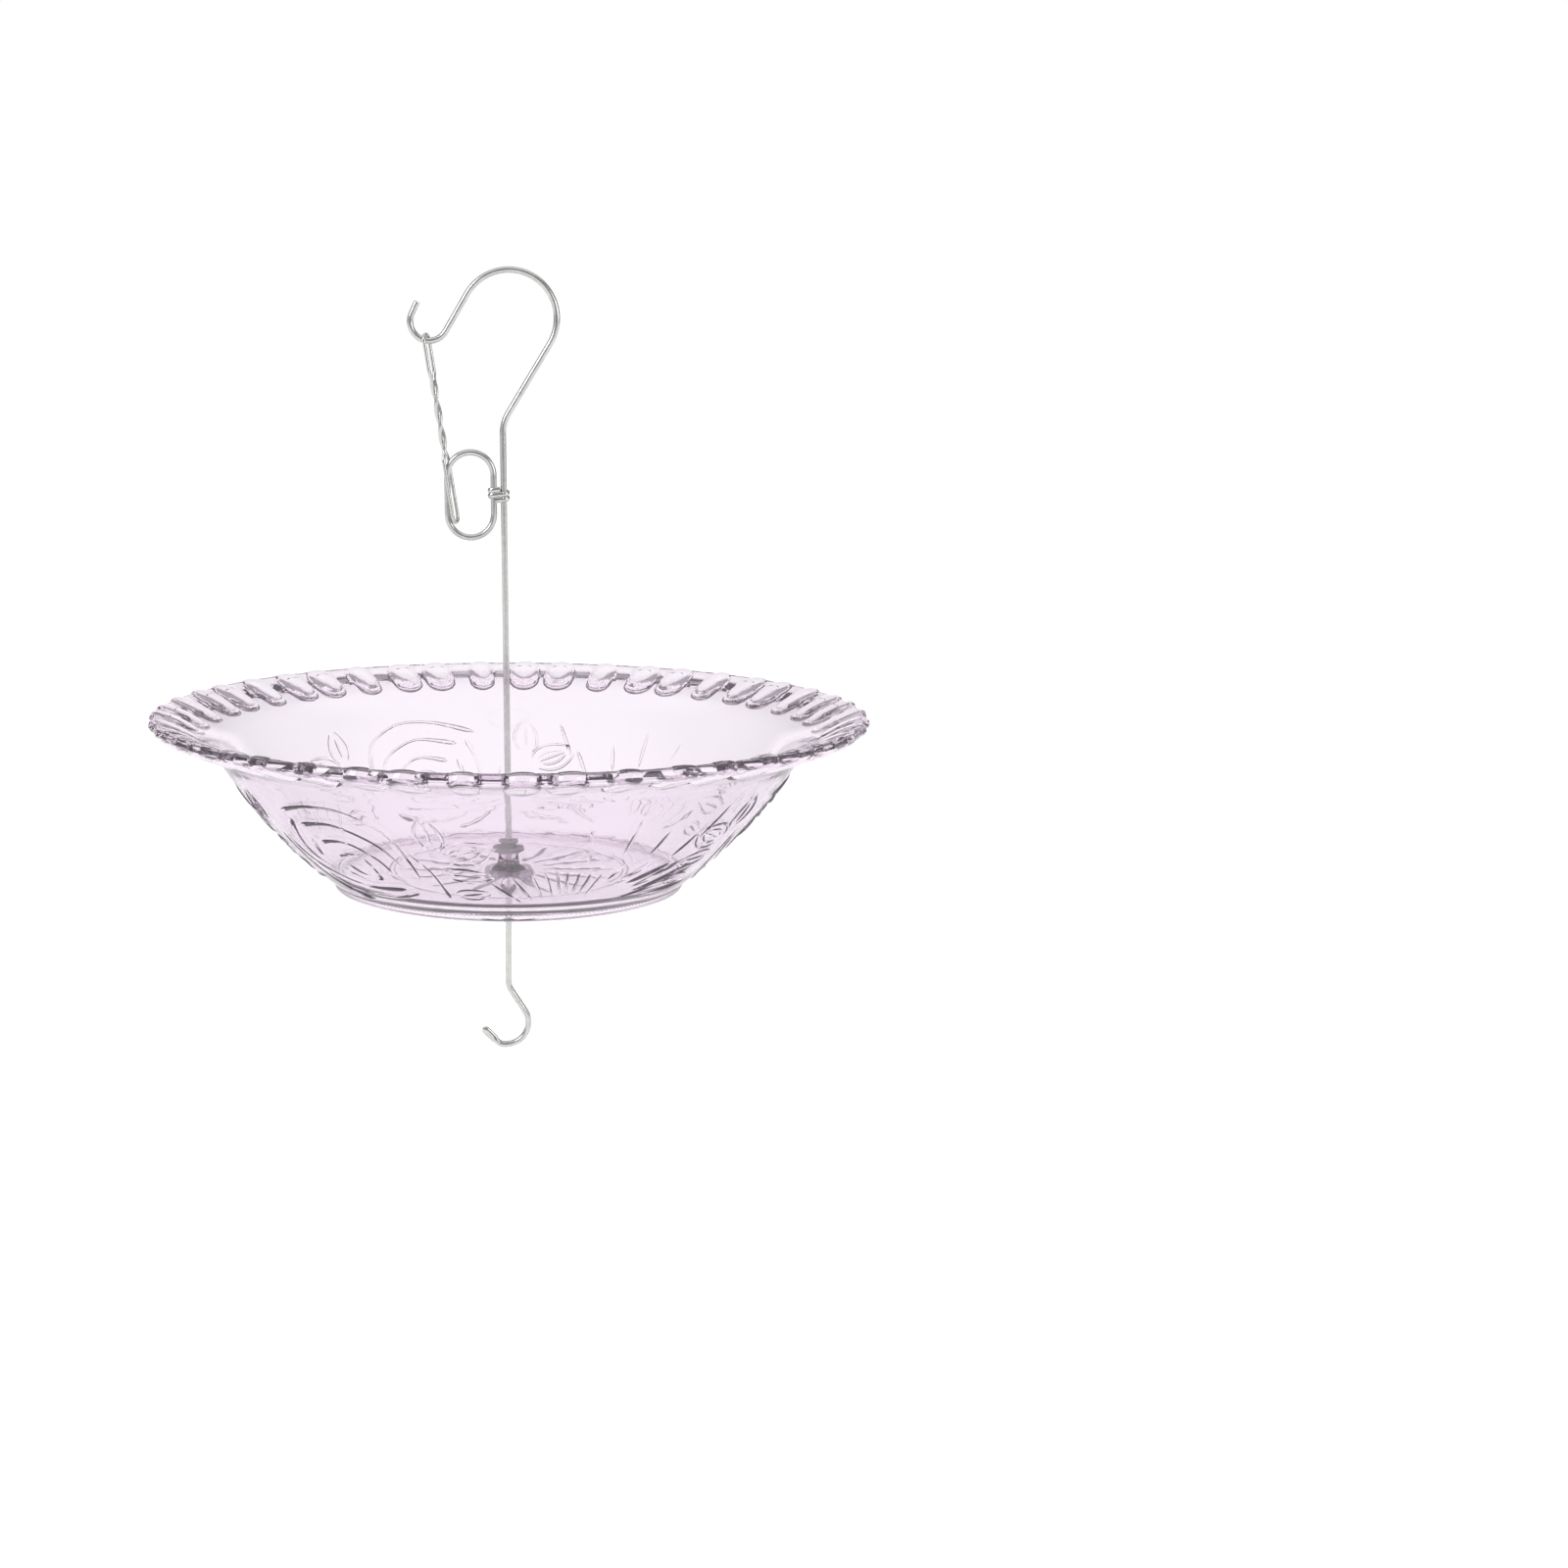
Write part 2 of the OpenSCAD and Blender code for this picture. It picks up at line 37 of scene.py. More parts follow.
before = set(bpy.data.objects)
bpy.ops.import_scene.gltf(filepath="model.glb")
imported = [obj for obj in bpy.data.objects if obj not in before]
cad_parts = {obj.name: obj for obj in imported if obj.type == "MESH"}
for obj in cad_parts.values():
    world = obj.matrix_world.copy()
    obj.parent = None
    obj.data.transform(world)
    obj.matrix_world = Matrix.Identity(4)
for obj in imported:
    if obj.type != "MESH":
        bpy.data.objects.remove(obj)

MM = 0.001


# Materials

HAZE = 0.035  # share of milky scatter in the clear mouldings

def linear(hex_colour):
    """An sRGB hex value as linear RGBA."""
    parts = [int(hex_colour[i:i + 2], 16) / 255 for i in (1, 3, 5)]
    return tuple(c / 12.92 if c <= 0.04045 else ((c + 0.055) / 1.055) ** 2.4 for c in parts) + (1.0,)


def add_node(tree, kind, settings=None, inputs=None):
    """Adds a node; an input's value is a constant, or an output socket to link from."""
    made = tree.nodes.new(kind)
    for name, value in (settings or {}).items():
        setattr(made, name, value)
    for name, value in (inputs or {}).items():
        if isinstance(value, bpy.types.NodeSocket):
            tree.links.new(value, made.inputs[name])
        else:
            made.inputs[name].default_value = value
    return made


def new_material(name):
    """An empty node material with its output."""
    material = bpy.data.materials.new(name)
    material.use_nodes = True
    material.node_tree.nodes.clear()
    return material, material.node_tree, add_node(material.node_tree, "ShaderNodeOutputMaterial")


def clear_moulding(name, tint, milk, roughness, ripple):
    """Clear injection-moulded styrene: polished, a little hazy, with faint flow ripples of about 6 mm."""
    material, tree, out = new_material(name)
    place = add_node(tree, "ShaderNodeTexCoord")
    flow = add_node(tree, "ShaderNodeTexNoise", None,
                    {"Vector": place.outputs["Object"], "Scale": 160.0, "Detail": 1.0})
    bump = add_node(tree, "ShaderNodeBump", None,
                    {"Height": flow.outputs["Fac"], "Strength": ripple, "Distance": 0.0004})
    shader = add_node(tree, "ShaderNodeBsdfGlass", None, {
        "Color": tint, "Roughness": roughness, "IOR": 1.5, "Normal": bump.outputs["Normal"]})
    haze = add_node(tree, "ShaderNodeBsdfTranslucent", None, {"Color": milk})
    both = add_node(tree, "ShaderNodeMixShader", None, {"Fac": HAZE})
    tree.links.new(shader.outputs[0], both.inputs[1])
    tree.links.new(haze.outputs[0], both.inputs[2])
    tree.links.new(both.outputs[0], out.inputs["Surface"])
    return material


def galvanised_steel(name, pale, dull):
    """Hot-dip galvanised drawn wire: soft grey metal, cloudy at 3 mm, with fine draw lines."""
    material, tree, out = new_material(name)
    place = add_node(tree, "ShaderNodeTexCoord")
    cloud = add_node(tree, "ShaderNodeTexNoise", None,
                     {"Vector": place.outputs["Object"], "Scale": 330.0, "Detail": 4.0, "Roughness": 0.6})
    tone = add_node(tree, "ShaderNodeMix", {"data_type": "RGBA"}, {"Factor": cloud.outputs["Fac"]})
    tone.inputs[6].default_value = dull
    tone.inputs[7].default_value = pale
    gloss = add_node(tree, "ShaderNodeMapRange", None,
                     {"Value": cloud.outputs["Fac"], "To Min": 0.13, "To Max": 0.25})
    stretch = add_node(tree, "ShaderNodeMapping", None,
                       {"Vector": place.outputs["Object"], "Scale": (2400.0, 2400.0, 160.0)})
    lines = add_node(tree, "ShaderNodeTexNoise", None, {"Vector": stretch.outputs["Vector"], "Detail": 2.0})
    bump = add_node(tree, "ShaderNodeBump", None,
                    {"Height": lines.outputs["Fac"], "Strength": 0.12, "Distance": 0.0002})
    shader = add_node(tree, "ShaderNodeBsdfPrincipled", None, {
        "Base Color": tone.outputs[2], "Metallic": 1.0, "Roughness": gloss.outputs["Result"],
        "Normal": bump.outputs["Normal"]})
    tree.links.new(shader.outputs[0], out.inputs["Surface"])
    return material


def moulded_rubber(name, colour, worn):
    """Moulded grey rubber: matt, slightly paler where it has dried."""
    material, tree, out = new_material(name)
    place = add_node(tree, "ShaderNodeTexCoord")
    bloom = add_node(tree, "ShaderNodeTexNoise", None,
                     {"Vector": place.outputs["Object"], "Scale": 900.0, "Detail": 3.0})
    tone = add_node(tree, "ShaderNodeMix", {"data_type": "RGBA"}, {"Factor": bloom.outputs["Fac"]})
    tone.inputs[6].default_value = colour
    tone.inputs[7].default_value = worn
    bump = add_node(tree, "ShaderNodeBump", None,
                    {"Height": bloom.outputs["Fac"], "Strength": 0.3, "Distance": 0.0001})
    shader = add_node(tree, "ShaderNodeBsdfPrincipled", None, {
        "Base Color": tone.outputs[2], "Roughness": 0.62, "Normal": bump.outputs["Normal"]})
    tree.links.new(shader.outputs[0], out.inputs["Surface"])
    return material


def seen_directly(tree, strength):
    """A strength that only rays from the camera, reflections and clear pieces see."""
    seen = add_node(tree, "ShaderNodeLightPath")
    either = seen.outputs["Is Camera Ray"]
    for kind in ("Is Glossy Ray", "Is Transmission Ray"):
        most = add_node(tree, "ShaderNodeMath", {"operation": "MAXIMUM"})
        tree.links.new(either, most.inputs[0])
        tree.links.new(seen.outputs[kind], most.inputs[1])
        either = most.outputs[0]
    scaled = add_node(tree, "ShaderNodeMath", {"operation": "MULTIPLY"})
    tree.links.new(either, scaled.inputs[0])
    scaled.inputs[1].default_value = strength
    return scaled.outputs[0]


def dress_node(node, material):
    """Gives a CAD node its finish."""
    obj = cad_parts[node]
    obj.data.materials.clear()
    obj.data.materials.append(material)


# Geometry Nodes

def new_tree(name, inputs):
    """A geometry tree with a geometry input and output, and named inputs of (name, socket type)."""
    tree = bpy.data.node_groups.new(name, "GeometryNodeTree")
    tree.is_modifier = True
    tree.interface.new_socket(name="Geometry", in_out="INPUT", socket_type="NodeSocketGeometry")
    for label, kind in inputs + [("Material", "NodeSocketMaterial")]:
        tree.interface.new_socket(name=label, in_out="INPUT", socket_type=kind)
    tree.interface.new_socket(name="Geometry", in_out="OUTPUT", socket_type="NodeSocketGeometry")
    return tree, tree.nodes.new("NodeGroupInput").outputs


def finish_tree(tree, given, geometry):
    """Ends a tree: instances made real and the material set."""
    real = add_node(tree, "GeometryNodeRealizeInstances", None, {"Geometry": geometry})
    dressed = add_node(tree, "GeometryNodeSetMaterial", None,
                       {"Geometry": real.outputs[0], "Material": given["Material"]})
    out = tree.nodes.new("NodeGroupOutput")
    tree.links.new(dressed.outputs[0], out.inputs[0])
    return tree


def wire_tree():
    """Draws wire along the input's edges; the point attribute stretch flattens its section."""
    tree, given = new_tree("Drawn wire", [("Radius", "NodeSocketFloat"), ("Sides", "NodeSocketInt")])
    path = add_node(tree, "GeometryNodeMeshToCurve", None, {"Mesh": given["Geometry"]})
    place = add_node(tree, "GeometryNodeInputPosition")
    marked = add_node(tree, "GeometryNodeStoreNamedAttribute", {"data_type": "FLOAT_VECTOR", "domain": "POINT"},
                      {"Geometry": path.outputs[0], "Name": "axis", "Value": place.outputs[0]})
    section = add_node(tree, "GeometryNodeCurvePrimitiveCircle", None,
                       {"Resolution": given["Sides"], "Radius": given["Radius"]})
    tube = add_node(tree, "GeometryNodeCurveToMesh", None,
                    {"Curve": marked.outputs[0], "Profile Curve": section.outputs[0], "Fill Caps": True})
    axis = add_node(tree, "GeometryNodeInputNamedAttribute", {"data_type": "FLOAT_VECTOR"}, {"Name": "axis"})
    stretch = add_node(tree, "GeometryNodeInputNamedAttribute", {"data_type": "FLOAT_VECTOR"}, {"Name": "stretch"})
    away = add_node(tree, "ShaderNodeVectorMath", {"operation": "SUBTRACT"})
    tree.links.new(place.outputs[0], away.inputs[0])
    tree.links.new(axis.outputs["Attribute"], away.inputs[1])
    flat = add_node(tree, "ShaderNodeVectorMath", {"operation": "MULTIPLY_ADD"})
    tree.links.new(away.outputs[0], flat.inputs[0])
    tree.links.new(stretch.outputs["Attribute"], flat.inputs[1])
    tree.links.new(axis.outputs["Attribute"], flat.inputs[2])
    shaped = add_node(tree, "GeometryNodeSetPosition", None,
                      {"Geometry": tube.outputs[0], "Position": flat.outputs[0]})
    return finish_tree(tree, given, shaped.outputs[0])


def beaded_tree():
    """Sets beads, in groups of one single and two paired, knurls and pattern strokes round a body as one solid."""
    tree, given = new_tree("Beaded body", [
        ("Single bead", "NodeSocketObject"), ("Paired bead", "NodeSocketObject"), ("Knurl", "NodeSocketObject"),
        ("Strokes", "NodeSocketObject"), ("Repeats", "NodeSocketInt"), ("Groups", "NodeSocketInt"),
        ("Knurls", "NodeSocketInt"), ("First bead", "NodeSocketFloat"), ("Pair gap", "NodeSocketFloat")])
    number = add_node(tree, "GeometryNodeInputIndex")

    def math_node(operation, a, b):
        """The result of an operation on two numbers or sockets."""
        made = add_node(tree, "ShaderNodeMath", {"operation": operation})
        for socket, value in zip(made.inputs, (a, b)):
            if isinstance(value, bpy.types.NodeSocket):
                tree.links.new(value, socket)
            else:
                socket.default_value = value
        return made.outputs[0]

    def held(source):
        """The shape of an object given to the tree."""
        return add_node(tree, "GeometryNodeObjectInfo", None, {"Object": source}).outputs["Geometry"]

    def spread(shape, count, first):
        """Copies of a shape, evenly round the axis from a first angle."""
        pitch = math_node("DIVIDE", 2 * math.pi, count)
        turn = math_node("ADD", math_node("MULTIPLY", number.outputs[0], pitch), first)
        points = add_node(tree, "GeometryNodePoints", None, {"Count": count})
        facing = add_node(tree, "ShaderNodeCombineXYZ", None, {"Z": turn})
        copies = add_node(tree, "GeometryNodeInstanceOnPoints", None, {
            "Points": points.outputs[0], "Instance": shape, "Rotation": facing.outputs[0]})
        return add_node(tree, "GeometryNodeRealizeInstances", None, {"Geometry": copies.outputs[0]}).outputs[0]

    # Each stroke of the pattern is a round bar of changing thickness, sunk in the wall
    path = add_node(tree, "GeometryNodeMeshToCurve", None, {"Mesh": held(given["Strokes"])})
    circle = add_node(tree, "GeometryNodeCurvePrimitiveCircle", None, {"Resolution": 8, "Radius": 1.0})
    swell = add_node(tree, "GeometryNodeInputNamedAttribute", {"data_type": "FLOAT"}, {"Name": "swell"})
    bars = add_node(tree, "GeometryNodeCurveToMesh", None, {
        "Curve": path.outputs[0], "Profile Curve": circle.outputs[0], "Scale": swell.outputs[0],
        "Fill Caps": True})

    half_group = math_node("DIVIDE", math.pi, given["Groups"])
    half_gap = math_node("MULTIPLY", given["Pair gap"], 0.5)
    middle = math_node("ADD", given["First bead"], half_group)
    union = add_node(tree, "GeometryNodeMeshBoolean", {"operation": "UNION", "solver": "MANIFOLD"})
    single, paired, knurl = (held(given[name]) for name in ("Single bead", "Paired bead", "Knurl"))
    for part in (given["Geometry"], spread(single, given["Groups"], given["First bead"]),
                 spread(paired, given["Groups"], math_node("SUBTRACT", middle, half_gap)),
                 spread(paired, given["Groups"], math_node("ADD", middle, half_gap)),
                 spread(knurl, given["Knurls"], 0.0), spread(bars.outputs[0], given["Repeats"], 0.0)):
        tree.links.new(part, union.inputs["Mesh 2"])
    return finish_tree(tree, given, union.outputs[0])


def grown(name, mesh, tree, values):
    """The plain mesh that a tree makes from a mesh, with the tree's named inputs set to values."""
    obj = bpy.data.objects.new(name, mesh)
    bpy.context.scene.collection.objects.link(obj)
    modifier = obj.modifiers.new(name, "NODES")
    modifier.node_group = tree
    for item in tree.interface.items_tree:
        if item.item_type == "SOCKET" and item.in_out == "INPUT" and item.name in values:
            modifier[item.identifier] = values[item.name]
    ready = obj.evaluated_get(bpy.context.evaluated_depsgraph_get())
    made = bpy.data.meshes.new_from_object(ready)
    bpy.data.objects.remove(obj)
    made.name = name
    if not made.polygons:
        raise RuntimeError("no mesh came out of " + tree.name)
    return made


def smoothed(mesh, degrees):
    """Smooth shading with creases sharper than the angle kept."""
    mesh.shade_smooth()
    mesh.set_sharp_from_angle(angle=math.radians(degrees))
    return mesh


# Sizes and colours

class BathBowl(bpy.types.PropertyGroup):
    """Sizes and colour of the bowl"""
    diameter: bpy.props.FloatProperty(
        name="Diameter", description="Diameter over the beaded edge", default=0.305, unit="LENGTH")
    rim_drop: bpy.props.FloatProperty(
        name="Rim drop", description="Drop from the hook's crest to the top of the beads", default=0.1814,
        unit="LENGTH")
    height: bpy.props.FloatProperty(
        name="Height", description="Height from the foot to the top of the beads", default=0.0756, unit="LENGTH")
    foot_diameter: bpy.props.FloatProperty(
        name="Foot", description="Outside diameter of the foot ring", default=0.150, unit="LENGTH")
    wall: bpy.props.FloatProperty(
        name="Wall", description="Thickness of the wall", default=0.003, unit="LENGTH")
    bead_groups: bpy.props.IntProperty(
        name="Bead groups", description="Groups of one single and two paired beads round the edge", default=15)
    first_bead: bpy.props.FloatProperty(
        name="First bead", description="Angle of the first single bead", default=math.radians(-0.6),
        subtype="ANGLE")
    pair_gap: bpy.props.FloatProperty(
        name="Pair gap", description="Angle between the two beads of a pair", default=math.radians(6.9),
        subtype="ANGLE")
    knurls: bpy.props.IntProperty(
        name="Knurls", description="Small beads in the row above the foot ring", default=240)
    relief: bpy.props.FloatProperty(
        name="Relief", description="Thickness of the strokes of the pressed roses, leaves and rays",
        default=0.001, unit="LENGTH")
    tint: bpy.props.FloatVectorProperty(
        name="Tint", description="Lilac tint of the clear bowl", default=linear("#fcf8fc"), size=4,
        min=0.0, max=1.0, subtype="COLOR")


class BathHanger(bpy.types.PropertyGroup):
    """Wires and colours of the hanger"""
    wire: bpy.props.FloatProperty(
        name="Wire", description="Diameter of the hanger's wire", default=0.0027, unit="LENGTH")
    link_wire: bpy.props.FloatProperty(
        name="Link wire", description="Diameter of the latch link's wire", default=0.0015, unit="LENGTH")
    pale: bpy.props.FloatVectorProperty(
        name="Pale zinc", description="Lighter tone of the galvanised wire", default=linear("#e0e1df"), size=4,
        min=0.0, max=1.0, subtype="COLOR")
    dull: bpy.props.FloatVectorProperty(
        name="Dull zinc", description="Darker tone of the galvanised wire", default=linear("#b4b6b2"), size=4,
        min=0.0, max=1.0, subtype="COLOR")


class BathStage(bpy.types.PropertyGroup):
    """Place and colour of the floor"""
    floor_drop: bpy.props.FloatProperty(
        name="Floor drop", description="Depth of the floor below the hook's crest", default=0.50, unit="LENGTH")
    backdrop: bpy.props.FloatVectorProperty(
        name="Backdrop", description="Colour of the floor and background", default=linear("#ffffff"), size=4,
        min=0.0, max=1.0, subtype="COLOR")


# Bowl: sizes in mm, beside those in the panel

# The edge slopes up outwards; its section is laid out along EDGE_OUT and EDGE_UP, in radius and height
EDGE_SLOPE = math.radians(21.4)
EDGE_OUT = np.array([math.cos(EDGE_SLOPE), math.sin(EDGE_SLOPE)])
EDGE_UP = np.array([-math.sin(EDGE_SLOPE), math.cos(EDGE_SLOPE)])
EDGE_WIDTH = 28.3  # across, from the wall's shoulder out
# Half sizes: width of a single and of a paired bead, then thickness of a bead, of the band and of the plate
SINGLE_HALF = 7.2
PAIR_HALF = 8.5
BEAD_HALF = 3.35
BAND_HALF = 2.2
PLATE_HALF = 1.3
BEAD_LENGTH = 25.0
BEAD_ROUND = 1.9
BAND_LENGTH = 12.2  # the thicker band between the beads, in from their outermost line
BAND_RECESS = 1.7
BAND_ROUND = 1.5
# Outer wall: an arc from just outside the foot ring to a little past the shoulder
WALL_CURVE = 215.0
WALL_FOOT_OUT = 1.6
WALL_FOOT_UP = 0.4
WALL_INTO_EDGE = 2.4
FOOT_RING_H = 3.2
FOOT_RING_W = 2.4
FLOOR_T = 2.8
PETALS = 16
HUB_H = 7.4
BORE_R = 1.65
# Rings round the bowl have this many points, or twice as many where there is detail
COARSE = 160


def turn_to(angles, a):
    """Signed angle from a, within half a turn."""
    return (angles - a + math.pi) % (2 * math.pi) - math.pi


def leaf_half(t, width):
    """Half width of a leaf of a full width, at shares t of its length."""
    return width / 2 * np.sin(math.pi * t ** 0.8) ** 0.8


def lens(x, y, length, width):
    """A leaf-shaped swelling from the origin along y."""
    w = leaf_half(np.clip(y / length, 0, 1), width) + 1e-6
    return np.where((y > 0) & (y < length), np.cos(np.clip(x / w, -1, 1) * math.pi / 2), 0)


# Pattern: a third of it is laid out from the first rose, and repeated
REPEATS = 3
ROSE_DEG = -130
ROSE_UP = 31
RAYS_TURN = 60
RAYS_UP = 5
# A stroke is never thinner than this, and its middle is sunk this far in the wall
STROKE_THIN = 0.28
STROKE_DEPTH = 0.34
# Strokes keep off the foot and the shoulder
CLEAR_OF_FOOT = 1.2
CLEAR_OF_SHOULDER = 1.5
# Share of a stroke's length and share of its swell there
LEAF = ((0, 0), (0.12, 0.55), (0.3, 0.9), (0.5, 1), (0.7, 0.9), (0.88, 0.55), (1, 0))
COMMA = ((0, 0), (0.04, 0.8), (0.09, 1), (0.2, 0.7), (0.34, 0.42), (0.9, 0.36), (1, 0))
HOOK = ((0, 0), (0.1, 0.36), (0.66, 0.42), (0.8, 0.7), (0.92, 1), (0.97, 0.8), (1, 0))

# The rose: bends in mm along and up the wall from its middle, the stroke's thickness and its swell
ROSE = (
    (((-24, 26), (-4.7, 32.2), (13.6, 33), (31, 22.8), (32.7, 3.2)), 1.4, COMMA),
    (((-18.8, 22.5), (-22, 14), (-22.6, 0.5), (-14, -6.5)), 1.3, COMMA),
    (((-14.2, 20.2), (6.5, 24.5), (24.2, 14.8), (27.3, 1)), 1.4, COMMA),
    (((-12.6, 12.5), (-14.2, 7), (-13.5, 1)), 1.1, LEAF),
    (((-7.9, 11), (7.6, 15.2), (20.5, 4), (20, -4.5)), 1.3, COMMA),
    (((-3.8, 2.2), (1, 6.4), (7.5, 6.2)), 1.2, LEAF),
    (((10.5, 4.6), (13.6, -1), (11.7, -10)), 1.5, HOOK),
    (((-0.6, -1), (1.4, -6), (6.2, -7.6)), 0.9, LEAF),
    (((-33, 9), (-29, -2), (-20.5, -8.5), (-10, -14), (2, -17), (20.2, -14.5)), 1.3, HOOK),
    (((-22.5, -13.5), (-13, -19), (-2.1, -23.2), (11, -23.5), (25, -16.5)), 1.3, HOOK),
    (((-37, 12), (-33.5, -3), (-27, -14), (-17, -23), (-4, -28)), 1.2, HOOK),
    (((34.3, 11), (39.3, 0.5), (37, -18.5)), 1.1, HOOK),
    (((-5.5, -4), (-2, -10.5), (6, -12.4)), 0.8, LEAF),
    (((29, 18), (33, 6), (31, -6)), 0.8, LEAF),
)
# Rays between the roses, from a focus near the foot: where each starts and ends in mm, and its thickness
RAYS = (
    (11.6, 15.8, 24.2, 28.5, 1.5), (16.4, 15, 35.5, 26, 1.4), (20.4, 11.5, 41.7, 26.5, 1.4),
    (22, 8, 49.2, 22, 1.3), (14.4, 2.6, 52.6, 18.8, 1.2), (27.2, 2, 56, 6, 1.1), (7, 19.2, 11.9, 29, 1.0),
    (9.2, 35.5, 12.4, 56.2, 1.0), (21.8, 33.2, 27.6, 47.2, 1.0), (33.7, 29.8, 43.7, 43, 1.0),
    (45.2, 39.5, 58, 57.2, 0.9), (-5, 32, -5.2, 39.2, 0.8), (-5.2, 41.5, -8.1, 51.8, 0.8),
    (-25.5, 26, -16.9, 8, 0.8), (-20.8, 27.5, -13.2, 9, 0.8), (-16.1, 28, -10.4, 10, 0.8),
    (-11.6, 28, -8, 10, 0.8), (-6.6, 27, -5.6, 10, 0.8), (-1.6, 26, -2.8, 9, 0.8), (3.4, 25, 0.2, 8, 0.8),
    (-40, 20, -24, 5, 0.9), (-33, 24, -20.5, 7, 0.9),
)
# Leaves on both sides of each rose: mm along and up the wall, lean in degrees, length, width, side veins
LEAVES = (
    (46, 45.5, -12, 18.5, 10, 0), (47.5, 39.5, -68, 25, 12, 1), (43, 30, -92, 20, 8, 0), (41, 15, -80, 15, 6, 0),
)


def leaf_strokes(x, y, lean, length, width, veins):
    """Outline and veins of a leaf as strokes."""
    t = np.linspace(0.03, 0.97, 15)
    edge = leaf_half(t, width) + 0.35
    strokes = []
    for share in [-1, 1] + ([-0.5, 0.5] if veins else []):
        reach = t if abs(share) == 1 else 0.15 + 0.65 * t
        strokes.append((share * edge, length * reach, 0.85))
    strokes.append((0 * t, length * (0.12 + 0.7 * t), 0.75))
    c, s = math.cos(math.radians(lean)), math.sin(math.radians(lean))
    return [(np.stack([x + c * u - s * v, y + s * u + c * v], axis=1), size) for u, v, size in strokes]


def pattern_strokes():
    """Strokes of one third of the pattern: degrees from the rose, then mm along the wall and up from the foot."""
    strokes = [(0, eased(drawn(bends, 1.5), 24) + np.array([0, ROSE_UP]), size, swell)
               for bends, size, swell in ROSE]
    strokes += [(RAYS_TURN, np.array([(x, y + RAYS_UP), (to_x, to_y + RAYS_UP)]), size, LEAF)
                for x, y, to_x, to_y, size in RAYS]
    for leaf in LEAVES:
        for side in (1, -1):
            strokes += [(0, points * np.array([side, 1]), size, LEAF) for points, size in leaf_strokes(*leaf)]
    return strokes


def eased(points, passes):
    """A row of points with its corners rounded and its ends kept."""
    points = np.array(points, float)
    for _ in range(passes):
        points[1:-1] = (points[:-2] + 2 * points[1:-1] + points[2:]) / 4
    return points


def drawn(points, spacing):
    """Points along a polyline at about even spacing."""
    points = np.array(points, float)
    run = np.concatenate([[0], np.cumsum(np.linalg.norm(np.diff(points, axis=0), axis=1))])
    at = np.linspace(0, run[-1], max(2, round(run[-1] / spacing) + 1))
    return np.stack([np.interp(at, run, points[:, 0]), np.interp(at, run, points[:, 1])], axis=1)


def arc_points(centre, radius, start, end, count):
    """Points of an arc in the plane of radius and height."""
    t = np.linspace(start, end, count)
    return np.array(centre) + radius * np.stack([np.cos(t), np.sin(t)], axis=1)


def bowl_frame(values):
    """Heights in mm of the foot, the floor's underside and its top, and the middle of a paired bead's section."""
    rim_z = -values.rim_drop / MM
    foot_z = rim_z - values.height / MM
    under_z = foot_z + FOOT_RING_H
    bead_mid = np.array([values.diameter / MM / 2 - BEAD_ROUND, rim_z - BEAD_ROUND]) \
        - (PAIR_HALF - BEAD_ROUND) * EDGE_OUT - (BEAD_HALF - BEAD_ROUND) * np.array([EDGE_OUT[1], EDGE_OUT[0]])
    return foot_z, under_z, under_z + FLOOR_T, bead_mid


def wall_arc(values):
    """Outermost point of the edge, then the centre and the end angles of the arc of the outer wall."""
    _, under_z, _, bead_mid = bowl_frame(values)
    rim_point = bead_mid + PAIR_HALF * EDGE_OUT
    shoulder = rim_point - EDGE_WIDTH / EDGE_OUT[0] * EDGE_OUT - BEAD_HALF * EDGE_UP
    wall_foot = np.array([values.foot_diameter / MM / 2 + WALL_FOOT_OUT, under_z + WALL_FOOT_UP])
    chord = shoulder - wall_foot
    half = np.linalg.norm(chord) / 2
    up_in = np.array([-chord[1], chord[0]]) / np.linalg.norm(chord)
    centre = (shoulder + wall_foot) / 2 + math.sqrt(WALL_CURVE ** 2 - half ** 2) * up_in
    start = math.atan2(*(wall_foot - centre)[::-1])
    return rim_point, centre, start, math.atan2(*(shoulder - centre)[::-1]) + WALL_INTO_EDGE / WALL_CURVE


def stroke_mesh(values):
    """Paths of the pattern's strokes just under the wall's face, with each point's thickness as swell."""
    _, centre, start, end = wall_arc(values)
    wall_length = (end - start) * WALL_CURVE
    rise = values.relief / MM
    points, edges, swells = [], [], []
    for aside, path, size, swell in pattern_strokes():
        path = drawn(path, 1.9)
        path = path[(path[:, 1] > CLEAR_OF_FOOT) & (path[:, 1] < wall_length - CLEAR_OF_SHOULDER)]
        if len(path) < 4:
            continue
        t = start + path[:, 1] / WALL_CURVE
        depth = WALL_CURVE - STROKE_DEPTH
        r = centre[0] + depth * np.cos(t)
        turn = math.radians(ROSE_DEG + aside) + path[:, 0] / r
        first = len(swells)
        points += np.stack([r * np.cos(turn), r * np.sin(turn), centre[1] + depth * np.sin(t)], axis=1).tolist()
        share = np.interp(np.linspace(0, 1, len(path)), *np.array(swell).T)
        swells += (STROKE_THIN + (size * rise - STROKE_THIN) * share).tolist()
        edges += [(k, k + 1) for k in range(first, len(swells) - 1)]
    mesh = bpy.data.meshes.new("strokes")
    mesh.from_pydata((np.array(points) * MM).tolist(), edges, [])
    mesh.attributes.new("swell", "FLOAT", "POINT").data.foreach_set("value", np.array(swells) * MM)
    return mesh


